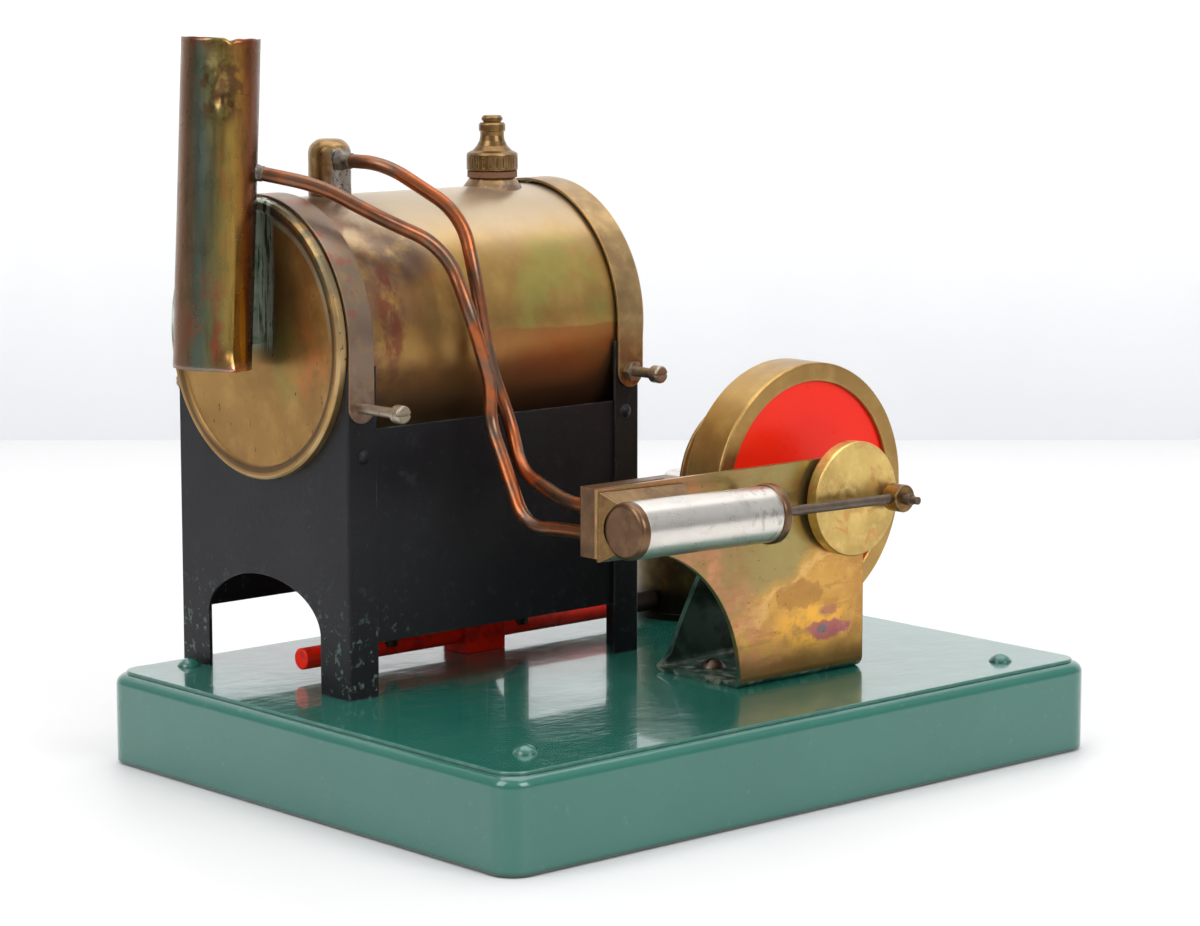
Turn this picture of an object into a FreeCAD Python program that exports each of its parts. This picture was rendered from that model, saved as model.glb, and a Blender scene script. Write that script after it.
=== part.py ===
import FreeCAD, Part
import math
import os

# A small stationary live-steam engine: a horizontal brass boiler on a sheet-metal
# firebox, with a spirit burner, feeds an oscillating-cylinder engine on a painted board.
# Millimetres.  Origin: centre of the board's underside.  +X runs along the boiler from
# the chimney to the flywheel, the engine is on the -Y side, and +Z is up.

# Driving dimensions ---------------------------------------------------------------
board_length = 180.0
board_width = 144.0
board_height = 21.0
board_corner = 6.0
plate_thickness = 0.7
plate_inset = 2.0
boiler_outer_diameter = 63.5      # over the end caps
firebox_length = 86.4
sheet = 0.6                       # firebox, straps and boiler fittings
boiler_y = 38.1
boiler_z = 100.0
crank_throw = 10.0
crank_x = 35.8
crank_z = 62.3
crank_rest_angle = math.radians(-2.0)
trunnion_x = -27.5
trunnion_z = 63.4
cylinder_diameter = 12.7
flywheel_diameter = 60.0
pipe_radius = 1.6

# Places worked out from them ----------------------------------------------------------
deck_z = board_height + plate_thickness
firebox_front = -69.6
firebox_rear = firebox_front + firebox_length
cap_radius = boiler_outer_diameter / 2
flange_outer = cap_radius + 0.1             # half the firebox's width
flange_inner = flange_outer - sheet
boiler_radius = flange_inner - 0.05
boiler_wall = 0.8
frame_top = 96.0
front_flange = 8.0
rear_flange = 7.5
arch_half_width = 21.2
arch_spring_z = 34.5
arch_rise = 11.5
panel_bottom = 33.8
panel_top = 82.0

strap_inner = flange_outer
strap_outer = strap_inner + sheet
front_strap_x = (firebox_front + 0.2, firebox_front + 7.0)
rear_strap_x = (firebox_rear - 6.8, firebox_rear + 0.8)
front_screw_z = 87.0
rear_screw_z = 88.8
front_screw_length = 14.8         # the screws stand out on the engine side
rear_screw_length = 10.7
far_screw_length = 3.0
strap_screw_radius = 1.2

chimney_radius = 8.9
chimney_wall = 0.5
chimney_bottom = (firebox_front - 13.2, boiler_y, 94.2)
chimney_top = (firebox_front - 9.4, boiler_y, 167.5)
dome_x = firebox_front + 20.3
dome_radius = 4.9
dome_top = 144.1
valve_x = -1.0
valve_seat_z = 133.2

bracket_front = -42.5
bracket_sheet = 1.3
bracket_rear = -14.0
bracket_left = 3.6
bracket_right = 42.7
arm_left = -39.5
arm_bottom = 56.5
arm_top = 71.9
port_block_back = -36.3
port_x = trunnion_x - 8.0
steam_port_z = 66.8
exhaust_port_z = 60.8

cylinder_y = -50.5
cylinder_radius = cylinder_diameter / 2
bore_radius = 5.35
rod_radius = 1.15
disc_front = -47.0
disc_back = -44.0
disc_radius = 13.2
shaft_radius = 2.0
running = 0.03
flywheel_front = -32.0
flywheel_back = -21.0
flywheel_radius = flywheel_diameter / 2
rim_inner = 25.6
pulley_front = -12.8
pulley_radius = 20.0

pin_x = crank_x + crank_throw * math.cos(crank_rest_angle)
pin_z = crank_z + crank_throw * math.sin(crank_rest_angle)
rod_reach = math.hypot(pin_x - trunnion_x, pin_z - trunnion_z)
cylinder_tilt = math.atan2(pin_z - trunnion_z, pin_x - trunnion_x)

burner_y = 33.5
burner_z = 26.2
burner_tube_radius = 2.5
tank_centre = (60.5, burner_y)
tank_radius = 14.5
tank_top = 53.0
sliding_gap = 0.05

X = FreeCAD.Vector(1, 0, 0)
Y = FreeCAD.Vector(0, 1, 0)
Z = FreeCAD.Vector(0, 0, 1)

os.makedirs("parts", exist_ok=True)


# Helpers --------------------------------------------------------------------------
def point(x, y, z):
    return FreeCAD.Vector(x, y, z)


def box(x, y, z):
    """A block between the two values of each pair."""
    low = point(min(x), min(y), min(z))
    return Part.makeBox(abs(x[1] - x[0]), abs(y[1] - y[0]), abs(z[1] - z[0]), low)


def rod_x(radius, x, y, z):
    return Part.makeCylinder(radius, x[1] - x[0], point(x[0], y, z), X)


def rod_y(radius, y, x, z):
    return Part.makeCylinder(radius, y[1] - y[0], point(x, y[0], z), Y)


def rod_z(radius, z, x, y):
    return Part.makeCylinder(radius, z[1] - z[0], point(x, y, z[0]), Z)


def fillet(shape, radius, wanted):
    """Rounds the edges whose middle point passes the test."""
    edges = [edge for edge in shape.Edges if wanted(edge.CenterOfMass)]
    return shape.makeFillet(radius, edges)


def near(value, target, tolerance=0.01):
    return abs(value - target) < tolerance


def turned(profile, axis_point, axis):
    """A solid of revolution from (radius, height) pairs around an axis."""
    points = [point(radius, 0, height) for radius, height in profile]
    face = Part.Face(Part.makePolygon(points + points[:1]))
    solid = face.revolve(point(0, 0, 0), Z, 360)
    turn = FreeCAD.Rotation(Z, axis)
    solid.Placement = FreeCAD.Placement(axis_point, turn)
    return solid


def ellipse_block(centre_x, centre_z, half_width, half_height, y):
    """An upright elliptical prism whose axis is Y."""
    major = max(half_width, half_height)
    minor = min(half_width, half_height)
    ellipse = Part.Ellipse(point(0, 0, 0), major, minor)
    prism = Part.Face(Part.Wire(ellipse.toShape())).extrude(point(0, 0, y[1] - y[0]))
    if half_height > half_width:
        prism.rotate(point(0, 0, 0), Z, 90)
    prism.rotate(point(0, 0, 0), X, 90)
    prism.translate(point(centre_x, y[1], centre_z))
    return prism


def bent_path(points, share=0.45):
    """Straight runs joined by tangent arcs as large as the runs allow."""
    edges = []
    start = points[0]
    for before, corner, after in zip(points, points[1:], points[2:]):
        inward = corner.sub(before)
        outward = after.sub(corner)
        shorter = min(inward.Length, outward.Length)
        setback = share * shorter
        unit_in = point(*inward).normalize()
        unit_out = point(*outward).normalize()
        arc_start = corner.sub(point(*unit_in).multiply(setback))
        arc_end = corner.add(point(*unit_out).multiply(setback))
        half_turn = unit_in.getAngle(unit_out) / 2
        radius = setback / math.tan(half_turn)
        bisector = unit_out.sub(unit_in).normalize()
        centre = corner.add(point(*bisector).multiply(radius / math.cos(half_turn)))
        to_corner = corner.sub(centre).normalize()
        middle = centre.add(to_corner.multiply(radius))
        edges.append(Part.LineSegment(start, arc_start).toShape())
        edges.append(Part.Arc(arc_start, middle, arc_end).toShape())
        start = arc_end
    edges.append(Part.LineSegment(start, points[-1]).toShape())
    return Part.Wire(edges)


def swept(path, radius):
    start = path.Edges[0].firstVertex().Point
    direction = path.Edges[0].tangentAt(path.Edges[0].FirstParameter)
    circle = Part.Wire(Part.makeCircle(radius, start, direction))
    return path.makePipeShell([circle], True, False)


def coil(radius, wire_radius, low, high, turns, axis_point, axis):
    """A round-wire compression spring between two heights on its axis."""
    travel = high - low - 2 * wire_radius
    helix = Part.makeHelix(travel / turns, travel, radius)
    profile = Part.Wire(Part.makeCircle(wire_radius, point(radius, 0, 0), Y))
    spring = Part.Wire(helix).makePipeShell([profile], True, True)
    spring.translate(point(0, 0, low + wire_radius))
    spring.Placement = FreeCAD.Placement(axis_point, FreeCAD.Rotation(Z, axis)).multiply(spring.Placement)
    return spring


def hexagon(across_flats, thickness, centre, axis):
    radius = across_flats / math.sqrt(3)
    corners = [point(radius * math.cos(math.radians(60 * k)), radius * math.sin(math.radians(60 * k)), 0)
               for k in range(7)]
    prism = Part.Face(Part.makePolygon(corners)).extrude(point(0, 0, thickness))
    prism.Placement = FreeCAD.Placement(centre, FreeCAD.Rotation(Z, axis))
    return prism


def save(name, shape):
    if not shape.isValid():
        print("not valid:", name)
    shape.exportStep("parts/" + name + ".step")


def save_group(name, solids):
    save(name, Part.makeCompound(solids))


# Base -------------------------------------------------------------------------------
nail_places = [(-73.0, -57.0), (-73.3, 62.5), (71.0, -60.0), (71.0, 62.0)]
nail_head_radius = 2.8
nail_head_height = 1.8
nail_shank_radius = 0.9
nail_length = 14.0


def round_head(radius, height, x, y, z):
    """A shallow spherical cap that stands on the plane z."""
    ball_radius = (radius ** 2 + height ** 2) / (2 * height)
    ball = Part.makeSphere(ball_radius, point(x, y, z + height - ball_radius))
    return ball.common(rod_z(radius + 1, (z, z + height + 1), x, y))


def nails():
    heads = []
    for x, y in nail_places:
        shank = rod_z(nail_shank_radius, (deck_z - nail_length, deck_z), x, y)
        heads.append(round_head(nail_head_radius, nail_head_height, x, y, deck_z).fuse(shank))
    return heads


def slab(length, width, z, corner):
    block = box((-length / 2, length / 2), (-width / 2, width / 2), z)
    return fillet(block, corner, lambda c: near(c.z, (z[0] + z[1]) / 2) and near(abs(c.x), length / 2))


tab_depth = 6.0
tab_half_width = 3.0
tab_y = (arch_half_width + flange_outer) / 2


def leg_tabs(frame_x):
    """Two tabs that run down from a frame's legs into the board."""
    tabs = []
    for side in (-1, 1):
        centre = boiler_y + side * tab_y
        across = (centre - tab_half_width, centre + tab_half_width)
        tabs.append(box(frame_x, across, (deck_z - tab_depth, deck_z)))
    return tabs


front_plate_x = (firebox_front, firebox_front + sheet)
rear_plate_x = (firebox_rear - sheet, firebox_rear)
foot_screw_places = [(12.5, -24.0), (33.5, -24.0)]
foot_screw_radius = 1.4


def deck_holes():
    cuts = leg_tabs(front_plate_x) + leg_tabs(rear_plate_x)
    cuts += [rod_z(nail_shank_radius, (deck_z - nail_length, deck_z), x, y) for x, y in nail_places]
    cuts += [rod_z(foot_screw_radius, (deck_z - 12, deck_z), x, y) for x, y in foot_screw_places]
    return Part.makeCompound(cuts)


def base_board():
    board = slab(board_length, board_width, (0, board_height), board_corner)
    board = fillet(board, 2.5, lambda c: near(c.z, board_height))
    board = fillet(board, 1.0, lambda c: near(c.z, 0))
    return board.cut(deck_holes())


def base_plate():
    length = board_length - 2 * plate_inset
    width = board_width - 2 * plate_inset
    plate = slab(length, width, (board_height, deck_z), board_corner - 1)
    plate = fillet(plate, 0.35, lambda c: near(c.z, deck_z))
    return plate.cut(deck_holes())


save("base_board", base_board())
save("base_plate", base_plate())
save_group("base_nails", nails())

# Firebox ----------------------------------------------------------------------------
rivet_shank = 0.9
rivet_head = 1.7
front_rivet = (firebox_front + 4.3, 76.1)
rear_rivet = (firebox_rear - 4.1, 79.3)


def strap_screw_axes():
    """x, z and length of the strap screws on each side."""
    front_x = sum(front_strap_x) / 2
    rear_x = sum(rear_strap_x) / 2
    return [(front_x, front_screw_z, front_screw_length), (rear_x, rear_screw_z, rear_screw_length)]


def across_firebox(radius, x, z):
    reach = flange_outer + 3
    return rod_y(radius, (boiler_y - reach, boiler_y + reach), x, z)


def fastener_holes():
    cuts = [across_firebox(strap_screw_radius, x, z) for x, z, length in strap_screw_axes()]
    cuts += [across_firebox(rivet_shank, x, z) for x, z in (front_rivet, rear_rivet)]
    return Part.makeCompound(cuts)


def firebox_frame(plate_x, flange_x):
    """An end plate with a saddle and an arch, with a flange folded back on each side."""
    y = (boiler_y - flange_outer, boiler_y + flange_outer)
    height = (deck_z, frame_top)
    frame = box(plate_x, y, height)
    for side in (-1, 1):
        edge = (boiler_y + side * flange_inner, boiler_y + side * flange_outer)
        frame = frame.fuse(box(flange_x, edge, height))
    outer_corner = plate_x[0] if flange_x[1] > plate_x[1] else plate_x[1]
    frame = fillet(frame.removeSplitter(), 0.5,
                   lambda c: near(c.x, outer_corner) and near(abs(c.y - boiler_y), flange_outer))
    frame = frame.cut(rod_x(flange_inner, (plate_x[0] - 1, plate_x[1] + 1), boiler_y, boiler_z))
    arch = box(plate_x, (boiler_y - arch_half_width, boiler_y + arch_half_width), (deck_z, arch_spring_z))
    crown = ellipse_block(0, 0, arch_half_width, arch_rise, (plate_x[0], plate_x[1]))
    crown.rotate(point(0, 0, 0), Z, -90)
    crown.translate(point(0, boiler_y, arch_spring_z))
    frame = frame.cut(arch).cut(crown)
    for tab in leg_tabs(plate_x):
        frame = frame.fuse(tab)
    return frame.removeSplitter().cut(fastener_holes())


def side_panel(side):
    y = (boiler_y + side * (flange_inner - sheet), boiler_y + side * flange_inner)
    panel = box((front_plate_x[1], rear_plate_x[0]), y, (panel_bottom, panel_top))
    return panel.cut(fastener_holes())


def rivets():
    solids = []
    for x, z in (front_rivet, rear_rivet):
        for side in (-1, 1):
            head = round_head(rivet_head, 0.8, 0, 0, 0)
            head.rotate(point(0, 0, 0), X, 90 if side < 0 else -90)
            head.translate(point(x, boiler_y + side * flange_outer, z))
            inner = boiler_y + side * (flange_inner - sheet)
            shank = rod_y(rivet_shank, sorted((inner, boiler_y + side * flange_outer)), x, z)
            tail = rod_y(rivet_head - 0.2, sorted((inner - side * 0.6, inner)), x, z)
            solids.append(head.fuse(shank).fuse(tail))
    return solids


front_flange_x = (firebox_front, firebox_front + front_flange)
rear_flange_x = (firebox_rear - rear_flange, firebox_rear)
save("firebox_front_frame", firebox_frame(front_plate_x, front_flange_x))
save("firebox_rear_frame", firebox_frame(rear_plate_x, rear_flange_x))
save("firebox_side_panel_near", side_panel(-1))
save("firebox_side_panel_far", side_panel(1))
save_group("firebox_rivets", rivets())

# Boiler -----------------------------------------------------------------------------
cap_depth = 2.2
cap_dish = 0.7
cap_rim_width = 2.4
spigot_length = 3.0
bush_radius = 5.3
bush_spigot = 4.0
dome_hole = 3.0


def boiler_shell():
    x = (firebox_front, firebox_rear)
    shell = rod_x(boiler_radius, x, boiler_y, boiler_z)
    shell = shell.cut(rod_x(boiler_radius - boiler_wall, x, boiler_y, boiler_z))
    top = (boiler_z, boiler_z + cap_radius)
    shell = shell.cut(rod_z(dome_hole, top, dome_x, boiler_y))
    return shell.cut(rod_z(bush_spigot, top, valve_x, boiler_y))


def boiler_cap(face_x, outward):
    """A pressed end cap: a raised rim, a shallow dish and a spigot inside the shell."""
    bore = boiler_radius - boiler_wall
    profile = [(0, 0), (bore - 0.8, 0), (bore - 0.8, -spigot_length),
               (bore - 0.02, -spigot_length), (bore - 0.02, 0), (cap_radius, 0),
               (cap_radius, cap_depth - 0.6), (cap_radius - 0.6, cap_depth),
               (cap_radius - cap_rim_width, cap_depth),
               (cap_radius - cap_rim_width - 0.6, cap_depth - cap_dish),
               (0, cap_depth - cap_dish)]
    return turned(profile, point(face_x, boiler_y, boiler_z), point(outward, 0, 0))


def boiler_strap(x, screw_z):
    """A band over the boiler whose straight ends lie on the firebox's flanges."""
    half = (x[1] - x[0]) / 2
    middle = (x[0] + x[1]) / 2
    band = rod_x(strap_outer, x, boiler_y, boiler_z)
    legs = box(x, (boiler_y - strap_outer, boiler_y + strap_outer), (screw_z, boiler_z))
    inside = box(x, (boiler_y - strap_inner, boiler_y + strap_inner), (screw_z - half, boiler_z))
    upper = box(x, (boiler_y - strap_outer, boiler_y + strap_outer), (boiler_z, boiler_z + strap_outer))
    strap = band.common(upper).cut(rod_x(strap_inner, x, boiler_y, boiler_z))
    ends = rod_y(half, (boiler_y - strap_outer, boiler_y + strap_outer), middle, screw_z)
    strap = strap.fuse(legs.fuse(ends).cut(inside)).removeSplitter()
    return strap.cut(across_firebox(strap_screw_radius, middle, screw_z))


def strap_screws():
    solids = []
    for x, z, length in strap_screw_axes():
        for side in (-1, 1):
            head_end = boiler_y + side * (strap_outer + (length if side < 0 else far_screw_length))
            head_start = head_end - side * (2.6 if side < 0 else 1.4)
            inner_end = boiler_y + side * (flange_inner - 1.5)
            shank = rod_y(strap_screw_radius, sorted((inner_end, head_start)), x, z)
            head = rod_y(2.05, sorted((head_start, head_end)), x, z)
            head = fillet(head, 0.5, lambda c: near(c.y, head_end))
            slot = box((x - 2.1, x + 2.1), (head_end - side * 0.6, head_end), (z - 0.25, z + 0.25))
            solids.append(shank.fuse(head).cut(slot))
    return solids


def strap_nuts():
    """Outside the strap at the rear screw of the engine side, inside the flange at the others."""
    solids = []
    for (x, z, length), rear in zip(strap_screw_axes(), (False, True)):
        for side in (-1, 1):
            inside = side > 0 or not rear
            start = boiler_y + side * (flange_inner if inside else strap_outer)
            outward = -side if inside else side
            width = 3.6 if inside else 4.2
            thickness = 1.2 if inside else 1.6
            nut = hexagon(width, thickness, point(x, start, z), point(0, outward, 0))
            solids.append(nut.cut(across_firebox(strap_screw_radius, x, z)))
    return solids


save("boiler_shell", boiler_shell())
save("boiler_front_cap", boiler_cap(firebox_front, -1))
save("boiler_rear_cap", boiler_cap(firebox_rear, 1))
save("boiler_strap_front", boiler_strap(front_strap_x, front_screw_z))
save("boiler_strap_rear", boiler_strap(rear_strap_x, rear_screw_z))
save_group("strap_screws", strap_screws())
save_group("strap_nuts", strap_nuts())

# Steam dome, pipes and chimney ---------------------------------------------------------
dome_wall = 0.6
pipe_wall = 0.5
pipe_socket = 2.4

steam_route = [
    point(dome_x, boiler_y - dome_radius + 1.2, 139.4),
    point(-46.0, 22.0, 139.0),
    point(-35.5, 8.0, 128.0),
    point(-35.5, 3.0, 113.5),
    point(-32.5, 2.5, 95.0),
    point(-28.5, -0.5, 81.0),
    point(-31.5, -7.5, 71.0),
    point(port_x, -28.0, steam_port_z),
    point(port_x, port_block_back - pipe_socket, steam_port_z),
]
exhaust_route = [
    point(-75.6, 33.6, 138.2),
    point(-64.5, 22.0, 135.0),
    point(-56.5, 12.5, 128.5),
    point(-42.0, 6.0, 121.0),
    point(-41.5, -2.0, 107.0),
    point(-35.5, -2.0, 90.5),
    point(-35.5, -1.5, 82.0),
    point(-37.0, -15.5, 60.0),
    point(port_x, -28.0, exhaust_port_z),
    point(port_x, port_block_back - pipe_socket, exhaust_port_z),
]


def boiler_blank():
    return rod_x(boiler_radius, (firebox_front, firebox_rear), boiler_y, boiler_z)


def steam_dome():
    outside = rod_z(dome_radius, (boiler_z, dome_top), dome_x, boiler_y)
    outside = fillet(outside, 3.4, lambda c: near(c.z, dome_top))
    inside = rod_z(dome_radius - dome_wall, (boiler_z, dome_top - dome_wall), dome_x, boiler_y)
    inside = fillet(inside, 2.8, lambda c: near(c.z, dome_top - dome_wall))
    dome = outside.cut(inside).cut(boiler_blank())
    return dome.cut(swept(bent_path(steam_route), pipe_radius))


def pipe(route):
    path = bent_path(route)
    return swept(path, pipe_radius).cut(swept(path, pipe_radius - pipe_wall))


def chimney_axis():
    low = point(*chimney_bottom)
    high = point(*chimney_top)
    return low, high.sub(low)


def chimney():
    low, along = chimney_axis()
    outer = Part.makeCylinder(chimney_radius, along.Length, low, along)
    inner = Part.makeCylinder(chimney_radius - chimney_wall, along.Length, low, along)
    return outer.cut(inner).cut(swept(bent_path(exhaust_route), pipe_radius))


def chimney_solder():
    """The joint that holds the leaning chimney to the boiler's front cap."""
    low, along = chimney_axis()
    across = (firebox_front - 9, firebox_front - cap_depth + cap_dish)
    joint = box(across, (boiler_y - 1.6, boiler_y + 1.6), (99, 131))
    joint = joint.cut(Part.makeCylinder(chimney_radius, along.Length, low, along))
    joint = joint.cut(boiler_cap(firebox_front, -1))
    return max(joint.Solids, key=lambda solid: solid.CenterOfMass.x)


def pipe_collars():
    """A ring of solder round each pipe where it enters the port block."""
    solids = []
    for z in (steam_port_z, exhaust_port_z):
        ring = turned([(pipe_radius, 0), (2.5, 0), (2.2, 1.6), (pipe_radius, 2.6)],
                      point(port_x, port_block_back, z), Y)
        solids.append(ring)
    return solids


save("steam_dome", steam_dome())
save("steam_pipe", pipe(steam_route))
save("exhaust_pipe", pipe(exhaust_route))
save_group("pipe_collars", pipe_collars())
save("chimney", chimney())
save("chimney_solder", chimney_solder())

# Safety valve, which is also the boiler's filler plug -------------------------------------
washer_height = 1.4
collar_z = valve_seat_z + washer_height
shank_radius = 2.75
shank_bottom = 126.5
cavity_radius = 2.1
cavity_bottom = shank_bottom + 2.0
cavity_top = 143.5
valve_top = 146.0
stem_radius = 0.7
seat_radius = 1.0


def valve_axis(z):
    return point(valve_x, boiler_y, z)


def valve_bush():
    """The threaded boss, with its skirt of solder, through the boiler's top."""
    spigot = rod_z(bush_spigot, (boiler_z + boiler_radius - 3, valve_seat_z), valve_x, boiler_y)
    profile = [(0, boiler_z), (bush_radius + 2, boiler_z), (bush_radius + 2, boiler_z + boiler_radius - 0.8),
               (bush_radius, valve_seat_z), (0, valve_seat_z)]
    boss = turned(profile, valve_axis(0), Z).cut(boiler_blank())
    return spigot.fuse(boss).removeSplitter().cut(
        rod_z(shank_radius + 0.05, (boiler_z, valve_seat_z), valve_x, boiler_y))


def valve_washer():
    washer = rod_z(5.9, (valve_seat_z, collar_z), valve_x, boiler_y)
    return washer.cut(rod_z(shank_radius, (valve_seat_z, collar_z), valve_x, boiler_y))


def valve_body():
    profile = [(0, shank_bottom), (shank_radius, shank_bottom), (shank_radius, collar_z), (5.6, collar_z),
               (6.05, collar_z + 0.4), (6.05, 138.6), (5.7, 139.0), (4.6, 139.5), (3.6, 140.6), (3.0, 141.8),
               (2.8, 143.0), (2.85, 143.9), (3.15, 144.1), (3.15, valve_top - 0.4), (2.8, valve_top),
               (0, valve_top)]
    body = turned(profile, valve_axis(0), Z)
    body = body.cut(rod_z(cavity_radius, (cavity_bottom, cavity_top), valve_x, boiler_y))
    body = body.cut(rod_z(seat_radius, (shank_bottom, cavity_bottom), valve_x, boiler_y))
    body = body.cut(rod_z(stem_radius + 0.05, (cavity_top, valve_top), valve_x, boiler_y))
    grooves = 24
    for k in range(grooves):
        groove = box((5.75, 6.5), (-0.2, 0.2), (collar_z + 0.9, 138.0))
        groove.rotate(point(0, 0, 0), Z, 360.0 * k / grooves)
        groove.translate(valve_axis(0))
        body = body.cut(groove)
    return body


def valve_stem():
    disc_top = cavity_bottom + 1.2
    profile = [(0, cavity_bottom), (1.9, cavity_bottom), (1.9, disc_top), (stem_radius, disc_top),
               (stem_radius, valve_top + 0.02), (2.1, valve_top + 0.02), (2.1, valve_top + 0.3),
               (2.5, valve_top + 0.5), (2.5, valve_top + 1.2), (2.0, valve_top + 1.7), (0, valve_top + 1.7)]
    return turned(profile, valve_axis(0), Z)


save("valve_bush", valve_bush())
save("valve_washer", valve_washer())
save("valve_body", valve_body())
save("valve_stem", valve_stem())
save("valve_spring", coil(1.35, 0.25, cavity_bottom + 1.2, cavity_top, 7, valve_axis(0), Z))

# Engine bracket and port block ----------------------------------------------------------
bush_bore = shaft_radius + running
trunnion_radius = 1.5
port_radius = 0.8
port_offset = 1.6
bearing_radius = 3.6
bearing_flange = 5.0
rear_plate_left = 27.0
bend_radius = 2.6


def rear_plate_gap():
    """What is cut from the rear plate, to the left of its curved edge."""
    low = point(bracket_left + 3.8, 0, deck_z + 3.5)
    high = point(bracket_left + 16.4, 0, deck_z + 25.8)
    top_left = point(rear_plate_left, 0, deck_z + 36.3)
    curve = Part.Arc(low, point(bracket_left + 9.1, 0, deck_z + 14.0), high).toShape()
    rest = Part.makePolygon([high, top_left, point(rear_plate_left, 0, arm_top), point(arm_left, 0, arm_top),
                             point(arm_left, 0, deck_z + bracket_sheet),
                             point(bracket_left, 0, deck_z + bracket_sheet), low])
    gap = Part.Face(Part.Wire([curve] + rest.Edges)).extrude(point(0, bend_radius + 2, 0))
    gap.translate(point(0, bracket_rear - bend_radius - 1, 0))
    return gap


def channel():
    """The U-shaped strip, as long as the arm, before its edges are cut."""
    def block(y, bottom, radius):
        solid = box((arm_left, bracket_right), y, (bottom, arm_top))
        return fillet(solid, radius, lambda c: near(c.z, bottom) and (near(c.y, y[0]) or near(c.y, y[1])))

    outside = block((bracket_front, bracket_rear), deck_z, bend_radius)
    inside = block((bracket_front + bracket_sheet, bracket_rear - bracket_sheet), deck_z + bracket_sheet,
                   bend_radius - bracket_sheet)
    return outside.cut(inside)


def engine_bracket():
    """One strip bent into a channel: front plate with an arm, foot, and rear plate."""
    front_y = (bracket_front, bracket_front + bracket_sheet)
    curve_centre = arm_left + 11.0
    bracket = channel()
    bracket = bracket.cut(box((arm_left, bracket_left), (front_y[1], bracket_rear), (deck_z, arm_top)))
    bracket = bracket.cut(box((arm_left, curve_centre), front_y, (deck_z, arm_bottom)))
    bracket = bracket.cut(ellipse_block(curve_centre, deck_z, bracket_left - curve_centre,
                                        arm_bottom - deck_z, front_y))
    bracket = bracket.cut(rear_plate_gap())
    bracket = fillet(bracket, 9.0, lambda c: near(c.x, bracket_right) and near(c.z, arm_top)
                     and near(c.y, sum(front_y) / 2))
    rear_middle = bracket_rear - bracket_sheet / 2
    bracket = fillet(bracket, 6.0, lambda c: near(c.z, arm_top) and near(c.y, rear_middle)
                     and (near(c.x, bracket_right) or near(c.x, rear_plate_left)))
    bracket = bracket.cut(rod_y(bearing_radius, (bracket_front - 1, bracket_rear + 1), crank_x, crank_z))
    bracket = bracket.cut(trunnion_bore())
    bracket = bracket.cut(port_bores(front_y))
    for x, y in foot_screw_places:
        bracket = bracket.cut(rod_z(foot_screw_radius, (deck_z, deck_z + bracket_sheet), x, y))
    return bracket


def port_bores(y):
    """The steam and exhaust ports, which the swinging cylinder uncovers in turn."""
    bores = [rod_y(port_radius, y, port_x, trunnion_z + side * port_offset) for side in (-1, 1)]
    return Part.makeCompound(bores)


def trunnion_bore():
    return rod_y(trunnion_radius + running, (bracket_front - 1, port_block_back + 1), trunnion_x, trunnion_z)


def port_block():
    block_y = (bracket_front + bracket_sheet, port_block_back)
    block = box((arm_left, arm_left + 25), block_y, (arm_bottom, arm_top))
    block = fillet(block, 0.4, lambda c: near(c.y, port_block_back))
    block = block.cut(trunnion_bore())
    notch = box((trunnion_x - 2, trunnion_x + 9), (block_y[0], block_y[0] + 1.0), (arm_top - 1.0, arm_top))
    block = block.cut(notch)
    for z in (steam_port_z, exhaust_port_z):
        block = block.cut(rod_y(pipe_radius, (port_block_back - pipe_socket, port_block_back), port_x, z))
    return block.cut(port_bores((block_y[0], port_block_back - pipe_socket + 0.4)))


def bearing(flange_y, barrel_y):
    flange = rod_y(bearing_flange, flange_y, crank_x, crank_z)
    barrel = rod_y(bearing_radius, barrel_y, crank_x, crank_z)
    bore = (min(flange_y[0], barrel_y[0]), max(flange_y[1], barrel_y[1]))
    return flange.fuse(barrel).cut(rod_y(bush_bore, bore, crank_x, crank_z))


def bracket_screws():
    solids = []
    top = deck_z + bracket_sheet
    for x, y in foot_screw_places:
        head = round_head(2.9, 1.9, x, y, top)
        slot = box((x - 3, x + 3), (y - 0.3, y + 0.3), (top + 1.0, top + 2))
        shank = rod_z(foot_screw_radius, (deck_z - 12, top), x, y)
        solids.append(head.cut(slot).fuse(shank))
    return solids


save("engine_bracket", engine_bracket())
save("port_block", port_block())
save("front_bearing", bearing((bracket_front - 1.0, bracket_front),
                              (bracket_front - 1.0, bracket_front + 4.0)))
save("rear_bearing", bearing((bracket_rear - bracket_sheet - 1.0, bracket_rear - bracket_sheet),
                             (bracket_rear - bracket_sheet - 1.0, bracket_rear + 0.6)))
save_group("bracket_screws", bracket_screws())

# Oscillating cylinder ----------------------------------------------------------------
# These pieces are drawn with the bore along +X from the trunnion, then tilted about it.
head_start = -12.2
barrel_start = -9.8
barrel_end = 30.2
gland_end = 32.6
face_half_length = 12.45
face_half_height = 7.6
face_y = bracket_front - sliding_gap


def tilted(shape):
    """Moves a shape drawn about the trunnion to its place, along the line to the crank pin."""
    shape.rotate(point(0, 0, 0), Y, -math.degrees(cylinder_tilt))
    shape.translate(point(trunnion_x, 0, trunnion_z))
    return shape


def cylinder_barrel():
    barrel = rod_x(cylinder_radius, (barrel_start, barrel_end), cylinder_y, 0)
    bore = rod_x(bore_radius, (barrel_start, barrel_end), cylinder_y, 0)
    return barrel.cut(bore).cut(port_passage())


def port_passage():
    return rod_y(port_radius, (cylinder_y, face_y), port_x - trunnion_x, 0)


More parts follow.
